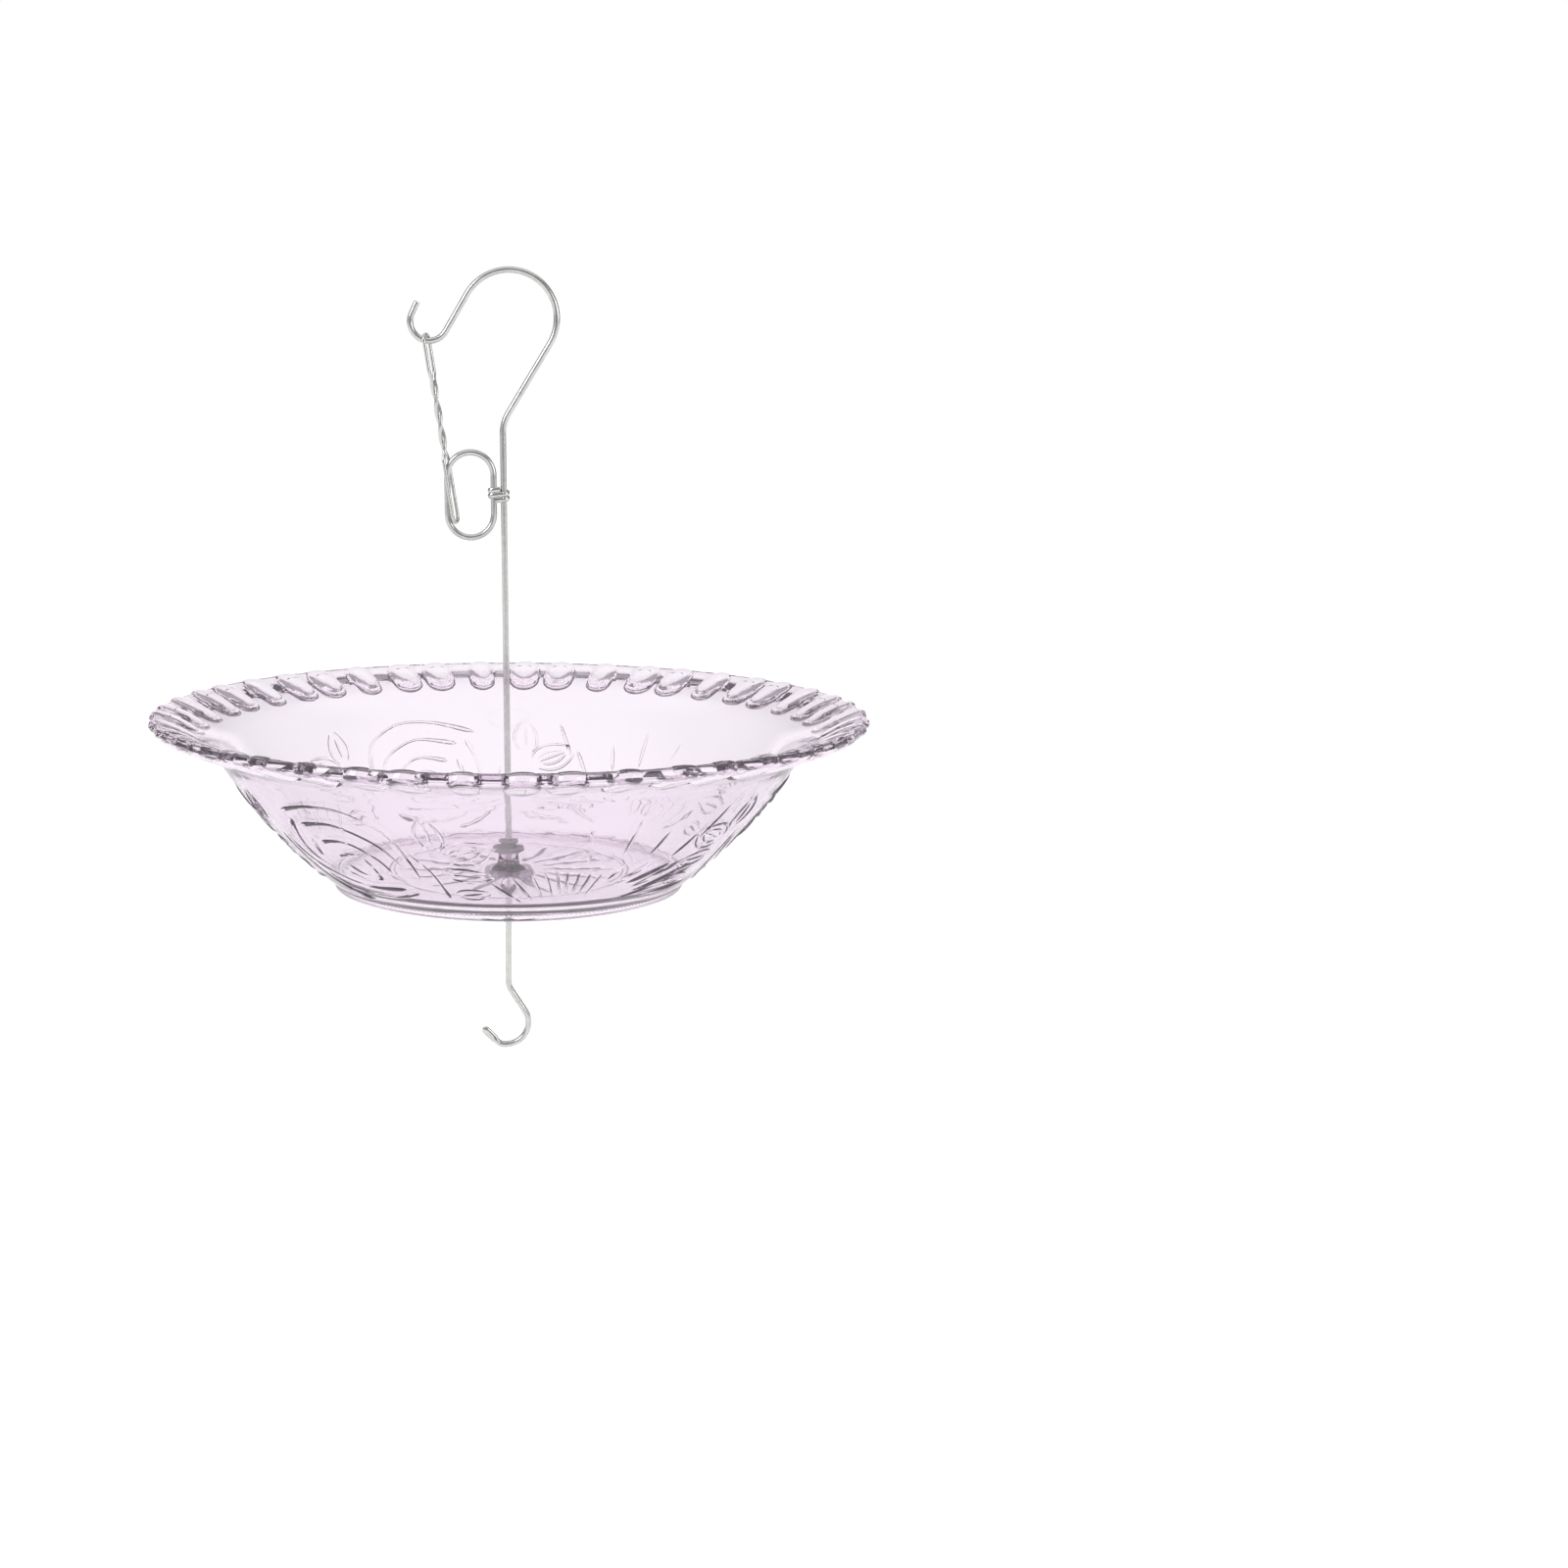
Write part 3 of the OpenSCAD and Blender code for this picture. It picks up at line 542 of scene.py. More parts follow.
def bowl_rows(values):
    """Rings of vertices of the bowl without its beads, in order round its section, in mm."""
    fine = 2 * COARSE
    foot_z, under_z, floor_z, _ = bowl_frame(values)
    hub_z = floor_z + HUB_H
    foot_r = values.foot_diameter / MM / 2
    wall_t = values.wall / MM
    rim_point, centre, start, end = wall_arc(values)
    turns = {n: np.linspace(0, 2 * math.pi, n, endpoint=False) for n in (COARSE, fine)}
    rings = []

    def ring(r, z, n):
        """Adds a ring of n points; r and z may change round it."""
        t = turns[n]
        rings.append(np.stack([r * np.cos(t), r * np.sin(t), np.broadcast_to(z, t.shape)], axis=1))

    def plain(points, n):
        """Adds a level, round ring for each radius and height."""
        for r, z in points:
            ring(r, z, n)

    # Underside of the floor, with its petals and the ring round them
    plain([(BORE_R, under_z), (6, under_z)], COARSE)
    ring(14, under_z, fine)
    for r in np.arange(17.5, 46, 2.0):
        rise = np.zeros(fine)
        for k in range(PETALS):
            d = turn_to(turns[fine], k * 2 * math.pi / PETALS)
            rise = np.maximum(rise, lens(r * np.sin(d), r * np.cos(d) - 18, 24, 6.4))
        ring(r, under_z - 0.5 * rise, fine)
    plain([(49, under_z), (49.6, under_z - 0.6), (51, under_z - 0.6), (51.6, under_z), (62, under_z)], fine)

    # Foot ring
    inner_foot = foot_r - FOOT_RING_W
    plain([(inner_foot - 0.5, under_z), (inner_foot, under_z - 0.5), (inner_foot, foot_z + 1.2),
           (inner_foot + 0.35, foot_z + 0.35), (inner_foot + 1.2, foot_z), (foot_r - 0.35, foot_z + 0.35),
           (foot_r, foot_z + 1.2), (foot_r, under_z - 0.6)], fine)

    # Outer wall, underside of the edge, its thicker band and its top
    top_wall = centre + WALL_CURVE * np.array([math.cos(end), math.sin(end)])
    first_v = (rim_point - top_wall) @ EDGE_OUT
    inner_curve = WALL_CURVE - wall_t
    crossing = rim_point + PLATE_HALF * EDGE_UP
    reach = 20.0  # from the outermost line in to where the plate's top meets the inner wall
    for _ in range(60):
        reach += (np.linalg.norm(crossing - reach * EDGE_OUT - centre) - inner_curve) * 0.8
    step = BAND_LENGTH + 1.3
    under = [rim_point - v * EDGE_OUT - PLATE_HALF * EDGE_UP for v in (first_v - 1.0, step + 0.5)]
    outside = np.concatenate([arc_points(centre, WALL_CURVE, start, end, 60), under])
    plain(eased(drawn(outside, 1.0), 24)[::3], fine)
    section = [(step, -PLATE_HALF - 0.15), (BAND_LENGTH + 0.2, 0.3 - BAND_HALF), (BAND_LENGTH - 0.4, -BAND_HALF)]
    section += [(BAND_RECESS + BAND_ROUND * (1 - math.cos(a)),
                 (BAND_HALF - BAND_ROUND) * np.sign(a) + BAND_ROUND * math.sin(a))
                for a in np.radians([-90, -60, -35, -12, 12, 35, 60, 90])]
    section += [(BAND_LENGTH - 0.4, BAND_HALF), (BAND_LENGTH + 0.2, BAND_HALF - 0.3), (step, PLATE_HALF + 0.15)]
    plain([rim_point - v * EDGE_OUT + n * EDGE_UP for v, n in section], fine)

    # Inner wall, floor, neck and bore
    corner = crossing - reach * EDGE_OUT
    top = math.atan2(*(corner - centre)[::-1])
    low = math.asin((floor_z - centre[1]) / inner_curve)
    inside = [crossing - (step + 0.5) * EDGE_OUT] + list(arc_points(centre, inner_curve, top, low, 60))
    inside += [np.array([r, floor_z]) for r in np.linspace(inside[-1][0], 9, 30)[1:]]
    plain(eased(drawn(inside, 1.0), 40)[::4], fine)
    plain([(8.5, floor_z + 0.05), (6.6, floor_z + 0.3), (5.4, floor_z + 1.0), (4.6, floor_z + 2.2),
           (4.2, hub_z - 1.2), (4.0, hub_z - 0.3), (3.7, hub_z), (BORE_R + 0.2, hub_z), (BORE_R, hub_z - 0.2),
           (BORE_R, under_z + 0.2)], COARSE)
    return rings


def outline_solid(name, levels, place):
    """A closed solid over level outlines of points, each with its height, moved from edge axes to the bowl."""
    rows = [np.column_stack([np.array(points), np.full(len(points), n)]) for points, n in levels]
    count = len(rows[0])
    points = np.concatenate([rows[0].mean(axis=0)[None], *rows, rows[-1].mean(axis=0)[None]])
    last = 1 + (len(rows) - 1) * count
    faces = []
    for k in range(count):
        nxt = (k + 1) % count
        faces.append((0, 1 + nxt, 1 + k))
        for a in range(1, last, count):
            faces.append((a + k, a + nxt, a + count + nxt, a + count + k))
        faces.append((last + k, last + nxt, last + count))
    mesh = bpy.data.meshes.new(name)
    mesh.from_pydata((place(points) * MM).tolist(), [], faces)
    mesh.update()
    return mesh


def bead_mesh(name, half, bead_mid):
    """A bead: a coin with a rounded edge, drawn out inwards to a domed lobe above and a tongue below."""
    around = np.linspace(0, 2 * math.pi, 36, endpoint=False)
    tail = half * 0.86
    back = np.cos(around) < 0

    def lobe(inset, length, tail_inset):
        """Coin outline at the front, straight sides and a narrower round end at a length."""
        points = np.stack([half - (half - inset) * np.cos(around), (half - inset) * np.sin(around)], axis=1)
        points[back, 0] = length - tail - (tail - tail_inset) * np.cos(around[back])
        points[back, 1] = (tail - tail_inset) * np.sin(around[back])
        return points

    low, high = -BEAD_HALF, BEAD_HALF
    levels = [(lobe(*shape), n) for n, shape in (
        (low, (6.2, BEAD_LENGTH, 5.4)), (low + 0.2, (4.2, BEAD_LENGTH, 3.6)), (low + 0.6, (2.4, BEAD_LENGTH, 2.0)),
        (low + 1.2, (1.1, BEAD_LENGTH, 0.9)), (low + 2.1, (0.2, BEAD_LENGTH, 0.2)), (0.6, (0, 22.5, 0)),
        (1.5, (0.4, 21.8, 0.4)), (high - 1.2, (1.2, 20.2, 1.2)), (high - 0.6, (2.5, 18.2, 2.4)),
        (high - 0.2, (4.3, 16.2, 3.8)), (high, (6.2, 14.6, 5.2)))]

    def place(points):
        """From distance in from the outermost line, sideways and up, to the bowl at angle 0."""
        u = PAIR_HALF - points[:, 0]
        r = bead_mid[0] + u * EDGE_OUT[0] + points[:, 2] * EDGE_UP[0]
        z = bead_mid[1] + u * EDGE_OUT[1] + points[:, 2] * EDGE_UP[1]
        return np.stack([r, points[:, 1], z], axis=1)

    return outline_solid(name, levels, place)


def knurl_mesh(values):
    """A small round bead of the row above the foot ring."""
    _, under_z, _, _ = bowl_frame(values)
    around = np.linspace(0, 2 * math.pi, 6, endpoint=False)
    levels = [(np.stack([0.7 * c * np.cos(around), 0.72 * c * np.sin(around)], axis=1), 0.55 * h)
              for c, h in ((0.5, -0.87), (1.0, 0.0), (0.5, 0.87))]
    r = values.foot_diameter / MM / 2 + 0.35
    return outline_solid("knurl", levels, lambda points: points + np.array([r, 0.0, under_z - 0.35]))


def ring_mesh(name, rings):
    """A closed mesh over rings in order, each joined to the one before it and the last to the first."""
    starts = np.cumsum([0] + [len(r) for r in rings])
    faces = []
    for i, ring in enumerate(rings):
        j = (i + 1) % len(rings)
        a, b, m, n = starts[i], starts[j], len(ring), len(rings[j])
        if m == n:
            k = np.arange(m)
            nxt = (k + 1) % m
            faces += np.stack([a + k, a + nxt, b + nxt, b + k], axis=1).tolist()
        else:
            # One ring has twice as many points as the other: three triangles for each of the fewer
            small, big, flip = (a, b, False) if m < n else (b, a, True)
            count = min(m, n)
            for k in range(count):
                nxt = (k + 1) % count
                between, far = big + 2 * k + 1, big + (2 * k + 2) % (2 * count)
                fan = [[small + k, between, big + 2 * k], [small + k, small + nxt, between],
                       [small + nxt, far, between]]
                faces += [f[::-1] for f in fan] if flip else fan
    mesh = bpy.data.meshes.new(name)
    mesh.from_pydata((np.concatenate(rings) * MM).tolist(), [], faces)
    mesh.update()
    return mesh


def show(name, mesh, material, body, nodes):
    """Puts a finished mesh in the scene in the place of CAD nodes."""
    mesh.materials.clear()
    mesh.materials.append(material)
    obj = bpy.data.objects.new(name, mesh)
    bpy.context.scene.collection.objects.link(obj)
    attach(obj, body)
    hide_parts(*nodes)


# Hanger: sizes in mm below and beside the crest, beside those in the panel

FOOT_DROP = 257.0  # the bowl's foot
ROD_LEAN = math.radians(0.8)
LEAN_Z = -239.2  # where the rod's lean ends
# Main hook, latch hook and the bend under them
HOOK_R = 20.0
LATCH_R = 7.9
LATCH_FROM_HOOK = np.array([33.0, 1.2])
LATCH_END_DEG = 155.0
LATCH_TIP = 5.4
LEG_LEAN_DEG = 31.0
NECK_R = 16.0
LEAN_R = 60.0
# Lower hook: a sweep away from the rod, the hook, and the turned-out flattened end
SWEEP_R = 8.0
SWEEP_DEG = 33.0
LOWER_R = 9.8
LOWER_X = -1.2
LOWER_DROP = 73.0
LOWER_END_DEG = -85.0
SPADE_R = 4.0
SPADE_DEG = 50.0
SPADE_L = 9.0
# Oval ring, and the flattened tie that holds it to the rod
RING_DROP = 91.5
RING_HALF = 9.7
RING_SIDE = 8.15  # half the straight side
RING_GAP = 1.5  # from the rod, where the tie passes between
TIE_HALF_THICK = 0.62
TIE_HALF_WIDE = 1.2
TIE_HALF_HEIGHT = 2.3
TIE_TURNS = 2.12
# Latch link: eye, twisted stretch and loop, from the eye's top, and how the link hangs
LINK_L = 79.0
EYE_L = 20.5
LOOP_L = 31.0
LINK_TAPER = 5.5
HALF_TURNS = 3
LINK_FACING = math.radians(24)
LINK_LEAN = math.radians(9.07)
LINK_TOP = np.array([-34.516, 0, -25.137])


def polar(r, degrees):
    """A point r from the origin in direction degrees, in the plane of X and Z."""
    return r * np.array([math.cos(math.radians(degrees)), math.sin(math.radians(degrees))])


def bend(centre, radius, start, end):
    """Points of a bend from one direction in degrees to another, about 0.8 mm apart."""
    count = max(4, int(abs(end - start) * math.pi / 180 * radius / 0.8))
    return [centre + polar(radius, a) for a in np.linspace(start, end, count)]


def hanger_path(values):
    """Centreline of the hanger's wire in mm, from the latch hook's tip to the lower hook's flattened end."""
    hook = np.array([0, values.wire / MM / 2 - HOOK_R])
    latch = hook - LATCH_FROM_HOOK
    line = math.degrees(math.atan2(*(latch - hook)[::-1])) % 360
    tangent = line - math.degrees(math.acos((HOOK_R + LATCH_R) / np.linalg.norm(latch - hook)))
    tip = latch + polar(LATCH_R, LATCH_END_DEG) + polar(LATCH_TIP, LATCH_END_DEG - 90)

    # The neck's bend touches the hook's straight leg and the leaning rod
    lean = np.array([-LEAN_R, LEAN_Z])
    lean_deg = math.degrees(ROD_LEAN)
    leg, rod = polar(1, -LEG_LEAN_DEG), polar(1, lean_deg)
    sums = [HOOK_R + NECK_R + leg @ hook, NECK_R + rod @ (lean + polar(LEAN_R, lean_deg))]
    neck = np.linalg.solve(np.array([leg, rod]), sums)

    # The sweep sits where its straight run reaches the lower hook
    lower = np.array([LOWER_X, -FOOT_DROP - LOWER_DROP + LOWER_R])
    c, s = math.cos(math.radians(SWEEP_DEG)), math.sin(math.radians(SWEEP_DEG))
    run = (lower[0] + LOWER_R * c - SWEEP_R * (1 - c)) / s
    sweep = np.array([SWEEP_R, lower[1] + (LOWER_R + SWEEP_R) * s + run * c])
    spade = lower + polar(LOWER_R, LOWER_END_DEG) + polar(1.2, LOWER_END_DEG - 90) \
        + polar(SPADE_R, LOWER_END_DEG + 180)
    spade_end = LOWER_END_DEG - SPADE_DEG
    points = [tip] + bend(latch, LATCH_R, LATCH_END_DEG, tangent + 180) \
        + bend(hook, HOOK_R, tangent, -LEG_LEAN_DEG) \
        + bend(neck, NECK_R, 180 - LEG_LEAN_DEG, 180 + lean_deg) + bend(lean, LEAN_R, lean_deg, 0) \
        + bend(sweep, SWEEP_R, 180, 180 + SWEEP_DEG) + bend(lower, LOWER_R, SWEEP_DEG, LOWER_END_DEG) \
        + bend(spade, SPADE_R, LOWER_END_DEG, spade_end) \
        + [spade + polar(SPADE_R, spade_end) + polar(SPADE_L, spade_end - 90)]
    return drawn(points, 0.7)


def step_up(x, start, end):
    """A smooth step from 0 at start to 1 at end."""
    t = np.clip((x - start) / (end - start), 0, 1)
    return t * t * (3 - 2 * t)


def hanger_shape(path):
    """Stretch of the wire's section along its path: cut tip, nick, pinched ears and flattened end."""
    run = np.concatenate([[0], np.cumsum(np.linalg.norm(np.diff(path, axis=0), axis=1))])
    left = run[-1] - run
    wide = np.ones(len(path))
    thin = np.ones(len(path))

    # The flattened end, rounded off over its last spade_round
    spade_round = 1.9
    flat = step_up(-left, -8.6, -6.4)
    wide += flat * 0.32
    thin -= flat * 0.34
    round_end = np.sqrt(np.clip(1 - (1 - left / spade_round) ** 2, 0.02, 1))
    wide = np.where(left < spade_round, wide * round_end, wide)
    thin *= 0.6 + 0.4 * step_up(left, 0, 1.2)

    # Ears pinched in the rod, which carry the support under the bowl
    upright = np.abs(path[:, 0]) < 1
    ear = (step_up(path[:, 1], -263.0, -262.2) - step_up(path[:, 1], -259.0, -258.6)) * upright
    wide += ear * 0.6
    thin -= ear * 0.42

    # A nick in the hook's leg, and the tip's cut edge
    nick_place, nick_size = np.array([9.3, -44.9]), 0.7
    wide -= np.exp(-(np.linalg.norm(path - nick_place, axis=1) / nick_size) ** 2) * 0.16
    bevel = 0.86 + 0.14 * step_up(run, 0, 0.5)
    return np.stack([wide * bevel, thin * bevel, wide * bevel], axis=1)


def on_rod(points, drop):
    """Points in the leaning rod's own axes, at a drop below the crest, moved to their place."""
    c, s = math.cos(ROD_LEAN), math.sin(ROD_LEAN)
    x = points[:, 0] * c - points[:, 2] * s + (LEAN_Z + drop) * s
    z = points[:, 0] * s + points[:, 2] * c - drop
    return np.stack([x, points[:, 1], z], axis=1)


def ring_path(values):
    """Closed centreline of the oval ring in mm."""
    x = -(values.wire / MM + RING_GAP + RING_HALF)
    points = bend(np.array([x, RING_SIDE]), RING_HALF, 0, 180) \
        + bend(np.array([x, -RING_SIDE]), RING_HALF, 180, 360)
    points = drawn(points + points[:1], 0.7)[:-1]
    return on_rod(np.column_stack([points[:, 0], np.zeros(len(points)), points[:, 1]]), RING_DROP)


def link_path(values):
    """Closed centreline of the latch link in mm: an eye, a twist of three half turns and a longer loop."""
    wide = values.wire / MM / 2 + 0.3 + values.link_wire / MM / 2
    close = values.link_wire / MM / 2 + 0.05
    loop_top = LINK_L - LOOP_L
    down = np.arange(wide, LINK_L - wide, 0.35)
    twisted = step_up(down, EYE_L - LINK_TAPER, EYE_L) - step_up(down, loop_top, loop_top + LINK_TAPER)
    off = wide - (wide - close) * twisted
    turn = math.pi * HALF_TURNS * np.clip((down - EYE_L + 2) / (loop_top - EYE_L + 4), 0, 1)
    strand = np.stack([off * np.sin(turn), off * np.cos(turn), -down], axis=1)
    sign = (-1) ** HALF_TURNS
    low = np.linspace(0, math.pi, 12)[1:-1]
    foot = np.stack([0 * low, sign * wide * np.cos(low), -(LINK_L - wide) - wide * np.sin(low)], axis=1)
    back = strand[::-1] * np.array([-1, -1, 1])
    head = np.stack([0 * low, -wide * np.cos(low), -wide + wide * np.sin(low)], axis=1)
    points = np.concatenate([strand, foot, back, head])

    # Turned about its length, leaned and hung from the latch hook
    c, s = math.cos(LINK_FACING), math.sin(LINK_FACING)
    points[:, :2] = points[:, :2] @ np.array([[c, -s], [s, c]])
    c, s = math.cos(LINK_LEAN), math.sin(LINK_LEAN)
    return np.stack([points[:, 0] * c - points[:, 2] * s, points[:, 1],
                     points[:, 0] * s + points[:, 2] * c], axis=1) + LINK_TOP


def clip_path(values):
    """Centreline of the flattened tie wound round the rod and the ring's near side, in mm."""
    pitch = values.wire / MM + RING_GAP
    around = values.wire / MM / 2 + TIE_HALF_THICK
    on_ring = [np.array([-pitch, 0]) + polar(around, a) for a in np.linspace(-90, -270, 16)]
    round_rod = [polar(around, a) for a in np.linspace(90, -90, 16)]
    loop = drawn([(0, -around)] + on_ring + round_rod, 0.3)
    count = int(len(loop) * TIE_TURNS)
    picked = loop[(np.arange(count) + len(loop) // 14) % len(loop)]
    z = np.linspace(TIE_HALF_HEIGHT, -TIE_HALF_HEIGHT, count)
    return on_rod(np.column_stack([picked[:, 0], picked[:, 1], z]), RING_DROP)


def wire_mesh(name, path, radius, material, closed, stretch):
    """Wire drawn along a path in mm, with its section stretched at each point if stretch isn't None."""
    count = len(path)
    mesh = bpy.data.meshes.new(name + "_path")
    edges = [(k, k + 1) for k in range(count - 1)] + ([(count - 1, 0)] if closed else [])
    mesh.from_pydata((path * MM).tolist(), edges, [])
    shape = mesh.attributes.new("stretch", "FLOAT_VECTOR", "POINT")
    stretch = np.ones((count, 3)) if stretch is None else stretch
    shape.data.foreach_set("vector", stretch.astype(np.float32).ravel())
    return grown(name, mesh, wire_tree(), {"Radius": radius, "Sides": 20, "Material": material})


# Stage

FLOOR_GLOW = 0.92
# Tones of the studio's cards round the compass, from behind the camera (0) to behind the bath (1)
CARDS = ((0.0, 0.36), (0.18, 0.36), (0.27, 0.80), (0.48, 0.80), (0.60, 0.30), (0.88, 0.30), (0.95, 1.0),
         (1.0, 1.0))
# Above the cards: where each tone starts and is full, as the height of its direction, and the tone
ABOVE_CARDS = ((0.18, 0.32, 0.32), (0.62, 0.85, 0.95))
# Lamps: name, place in metres, size and power, aimed at a point this far below the hook's crest
LAMPS = (("key", (-1.3, -0.9, 0.8), 0.9, 12.0), ("fill", (1.2, -0.9, 0.3), 0.7, 4.0))
LAMP_AIM_DROP = 0.18
# The photograph's camera, in metres and degrees
CAMERA_PLACE = (0.0, -1.0, -0.02545)
CAMERA_PITCH_DEG = 8.864
CAMERA_LENS = 54.64
CAMERA_SHIFT = (0.1756, -0.0495)


def set_floor(values):
    """A plain floor that shows pale to the camera and keeps the bath's shadow."""
    material, tree, out = new_material("Studio floor")
    paper = add_node(tree, "ShaderNodeBsdfDiffuse", None, {"Color": linear("#8c8c8c")})
    glow = add_node(tree, "ShaderNodeEmission", None,
                    {"Color": values.backdrop, "Strength": seen_directly(tree, FLOOR_GLOW)})
    lit = add_node(tree, "ShaderNodeAddShader")
    tree.links.new(paper.outputs[0], lit.inputs[0])
    tree.links.new(glow.outputs[0], lit.inputs[1])
    tree.links.new(lit.outputs[0], out.inputs["Surface"])
    z = -values.floor_drop
    mesh = bpy.data.meshes.new("studio_floor")
    mesh.from_pydata([(-6, -4, z), (6, -4, z), (6, 8, z), (-6, 8, z)], [], [(0, 1, 2, 3)])
    mesh.materials.append(material)
    floor = bpy.data.objects.new("studio_floor", mesh)
    bpy.context.scene.collection.objects.link(floor)


def set_world(values):
    """A studio of pale and grey cards, white behind the bath and white wherever the camera sees it."""
    world = bpy.data.worlds.new("Studio")
    world.use_nodes = True
    tree = world.node_tree
    tree.nodes.clear()
    out = add_node(tree, "ShaderNodeOutputWorld")
    place = add_node(tree, "ShaderNodeTexCoord")
    axes = add_node(tree, "ShaderNodeSeparateXYZ", None, {"Vector": place.outputs["Generated"]})
    level = add_node(tree, "ShaderNodeVectorMath", {"operation": "MULTIPLY"},
                     {"Vector": place.outputs["Generated"]})
    level.inputs[1].default_value = (1.0, 1.0, 0.0)
    flat = add_node(tree, "ShaderNodeVectorMath", {"operation": "NORMALIZE"}, {"Vector": level.outputs["Vector"]})
    facing = add_node(tree, "ShaderNodeSeparateXYZ", None, {"Vector": flat.outputs["Vector"]})
    share = add_node(tree, "ShaderNodeMapRange", None, {"Value": facing.outputs["Y"], "From Min": -1.0})
    studio = add_node(tree, "ShaderNodeValToRGB", None, {"Fac": share.outputs["Result"]})
    ramp = studio.color_ramp.elements
    for k, (at, tone) in enumerate(CARDS):
        stop = ramp[k] if k < 2 else ramp.new(at)
        stop.position = at
        stop.color = (tone, tone, tone, 1.0)
    for low, high, tone in ABOVE_CARDS:
        above = add_node(tree, "ShaderNodeMapRange", {"interpolation_type": "SMOOTHSTEP"},
                         {"Value": axes.outputs["Z"], "From Min": low, "From Max": high})
        part = add_node(tree, "ShaderNodeMix", {"data_type": "FLOAT"}, {"Factor": above.outputs["Result"]})
        tree.links.new(studio.outputs[0], part.inputs[2])
        part.inputs[3].default_value = tone
        studio = part
    seen = add_node(tree, "ShaderNodeLightPath")
    strength = add_node(tree, "ShaderNodeMath", {"operation": "MAXIMUM"})
    tree.links.new(studio.outputs[0], strength.inputs[0])
    tree.links.new(seen.outputs["Is Camera Ray"], strength.inputs[1])
    sky = add_node(tree, "ShaderNodeBackground", None,
                   {"Color": values.backdrop, "Strength": strength.outputs[0]})
    tree.links.new(sky.outputs[0], out.inputs["Surface"])
    bpy.context.scene.world = world


def set_lamps():
    """Soft lamps at both sides of the camera."""
    for name, place, size, power in LAMPS:
        lamp = bpy.data.lights.new(name, "AREA")
        lamp.size = size
        lamp.energy = power
        obj = bpy.data.objects.new(name, lamp)
        obj.location = place
        obj.visible_transmission = False
        aim = -obj.location.copy()
        aim.z -= LAMP_AIM_DROP
        obj.rotation_euler = aim.to_track_quat("-Z", "Y").to_euler()
        bpy.context.scene.collection.objects.link(obj)


def set_camera():
    """The camera at the photograph's place and framing."""
    view = bpy.data.cameras.new("view")
    view.sensor_width = 36.0
    view.lens = CAMERA_LENS
    view.shift_x, view.shift_y = CAMERA_SHIFT
    view.clip_start = 0.01
    camera = bpy.data.objects.new("view", view)
    camera.location = CAMERA_PLACE
    camera.rotation_euler = (math.radians(90 - CAMERA_PITCH_DEG), 0.0, 0.0)
    bpy.context.scene.collection.objects.link(camera)
    bpy.context.scene.camera = camera


# Operators and panel

class BATH_OT_bowl(bpy.types.Operator):
    """Build the clear pressed bowl"""
    bl_idname = "bath.bowl"
    bl_label = "Bowl"

    def execute(self, context):
        values = context.scene.bath_bowl
        plastic = clear_moulding("Clear lilac styrene", values.tint, linear("#f2e8f2"), 0.02, 0.06)
        body = ring_mesh("bowl_body", bowl_rows(values))
        bead_mid = bowl_frame(values)[3]
        stock = {}
        for label, mesh in (("Single bead", bead_mesh("single_bead", SINGLE_HALF, bead_mid)),
                            ("Paired bead", bead_mesh("paired_bead", PAIR_HALF, bead_mid)),
                            ("Knurl", knurl_mesh(values)), ("Strokes", stroke_mesh(values))):
            stock[label] = bpy.data.objects.new(label, mesh)
            context.scene.collection.objects.link(stock[label])
        mesh = grown("pressed_bowl", body, beaded_tree(), {
            "Repeats": REPEATS, "Groups": values.bead_groups, "Knurls": values.knurls, "First bead": values.first_bead,
            "Pair gap": values.pair_gap, "Material": plastic, **stock})
        for obj in stock.values():
            bpy.data.objects.remove(obj)
        show("pressed_bowl", smoothed(mesh, 32), plastic, "bowl", ["bowl"])
        return {"FINISHED"}


class BATH_OT_hanger(bpy.types.Operator):
    """Dress the hanger wire, its ring, ferrule and latch link"""
    bl_idname = "bath.hanger"
    bl_label = "Hanger"

    def execute(self, context):
        values = context.scene.bath_hanger
        zinc = galvanised_steel("Galvanised wire", values.pale, values.dull)
        path = hanger_path(values)
        wire = np.column_stack([path[:, 0], np.zeros(len(path)), path[:, 1]])
        tie = clip_path(values)
        flat = np.tile([TIE_HALF_THICK, TIE_HALF_THICK, TIE_HALF_WIDE], (len(tie), 1))
        for name, centreline, radius, closed, stretch, node, body in (
                ("hanger_rod", wire, values.wire / 2, False, hanger_shape(path), "hanger_wire", "hanger"),
                ("hanger_ring", ring_path(values), values.wire / 2, True, None, "oval_ring", "hanger"),
                ("hanger_tie", tie, MM, False, flat, "ferrule", "hanger"),
                ("twisted_link", link_path(values), values.link_wire / 2, True, None, "latch_link", "latch")):
            mesh = wire_mesh(name, centreline, radius, zinc, closed, stretch)
            show(name, smoothed(mesh, 50), zinc, body, [node])
        return {"FINISHED"}


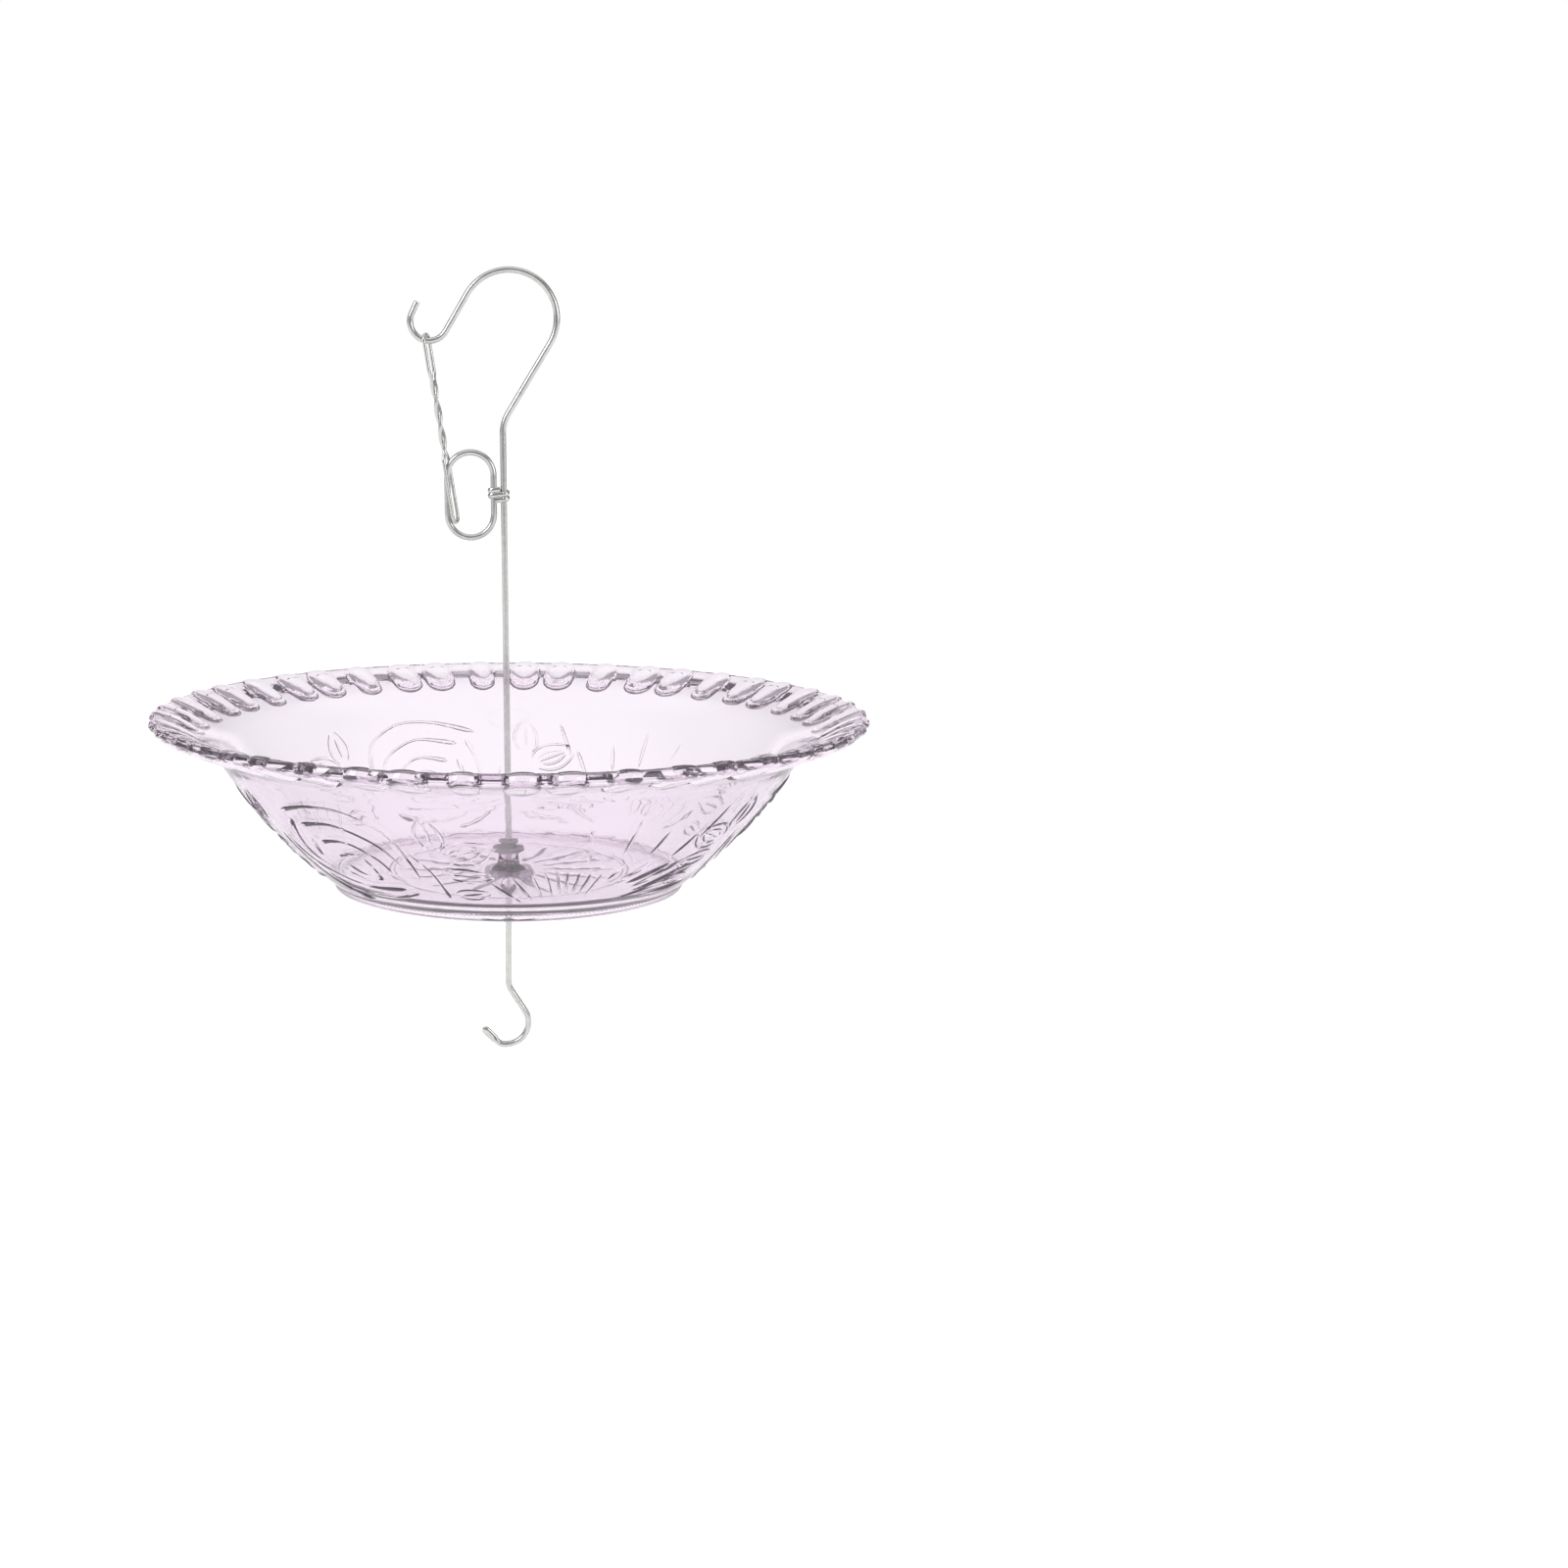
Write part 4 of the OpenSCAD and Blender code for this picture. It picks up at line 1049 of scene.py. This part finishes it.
class BATH_OT_hub(bpy.types.Operator):
    """Dress the washer, collar and support at the middle of the bowl"""
    bl_idname = "bath.hub"
    bl_label = "Hub"

    def execute(self, context):
        rubber = moulded_rubber("Grey rubber", linear("#9a969b"), linear("#aba7ac"))
        for node in ("sealing_washer", "retaining_collar"):
            dress_node(node, rubber)
        smoke = clear_moulding("Smoky clear styrene", linear("#cbc4cc"), linear("#cfc8d0"), 0.3, 0.2)
        dress_node("support_spider", smoke)
        return {"FINISHED"}


class BATH_OT_stage(bpy.types.Operator):
    """Set the floor, light and camera"""
    bl_idname = "bath.stage"
    bl_label = "Stage"

    def execute(self, context):
        values = context.scene.bath_stage
        set_floor(values)
        set_world(values)
        set_lamps()
        set_camera()
        context.scene.view_settings.view_transform = "Standard"
        return {"FINISHED"}


class BATH_PT_panel(bpy.types.Panel):
    bl_idname = "BATH_PT_panel"
    bl_label = "Bird bath"
    bl_space_type = "VIEW_3D"
    bl_region_type = "UI"
    bl_category = "Bird bath"

    def draw(self, context):
        for group in ("bath_bowl", "bath_hanger", "bath_stage"):
            box = self.layout.box()
            values = getattr(context.scene, group)
            for name in values.__annotations__:
                box.prop(values, name)
        for step in ("bath.bowl", "bath.hanger", "bath.hub", "bath.stage"):
            self.layout.operator(step)


CLASSES = (BathBowl, BathHanger, BathStage, BATH_OT_bowl, BATH_OT_hanger, BATH_OT_hub, BATH_OT_stage,
           BATH_PT_panel)


def register():
    """Adds the add-on's classes and its settings in the scene."""
    for made in CLASSES:
        bpy.utils.register_class(made)
    bpy.types.Scene.bath_bowl = bpy.props.PointerProperty(type=BathBowl)
    bpy.types.Scene.bath_hanger = bpy.props.PointerProperty(type=BathHanger)
    bpy.types.Scene.bath_stage = bpy.props.PointerProperty(type=BathStage)


def unregister():
    """Takes them out again."""
    for name in ("bath_bowl", "bath_hanger", "bath_stage"):
        delattr(bpy.types.Scene, name)
    for made in reversed(CLASSES):
        bpy.utils.unregister_class(made)


def main():
    """Builds the pieces in order."""
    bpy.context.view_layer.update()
    register()
    for step in (bpy.ops.bath.bowl, bpy.ops.bath.hanger, bpy.ops.bath.hub, bpy.ops.bath.stage):
        step()


if __name__ == "__main__":
    main()
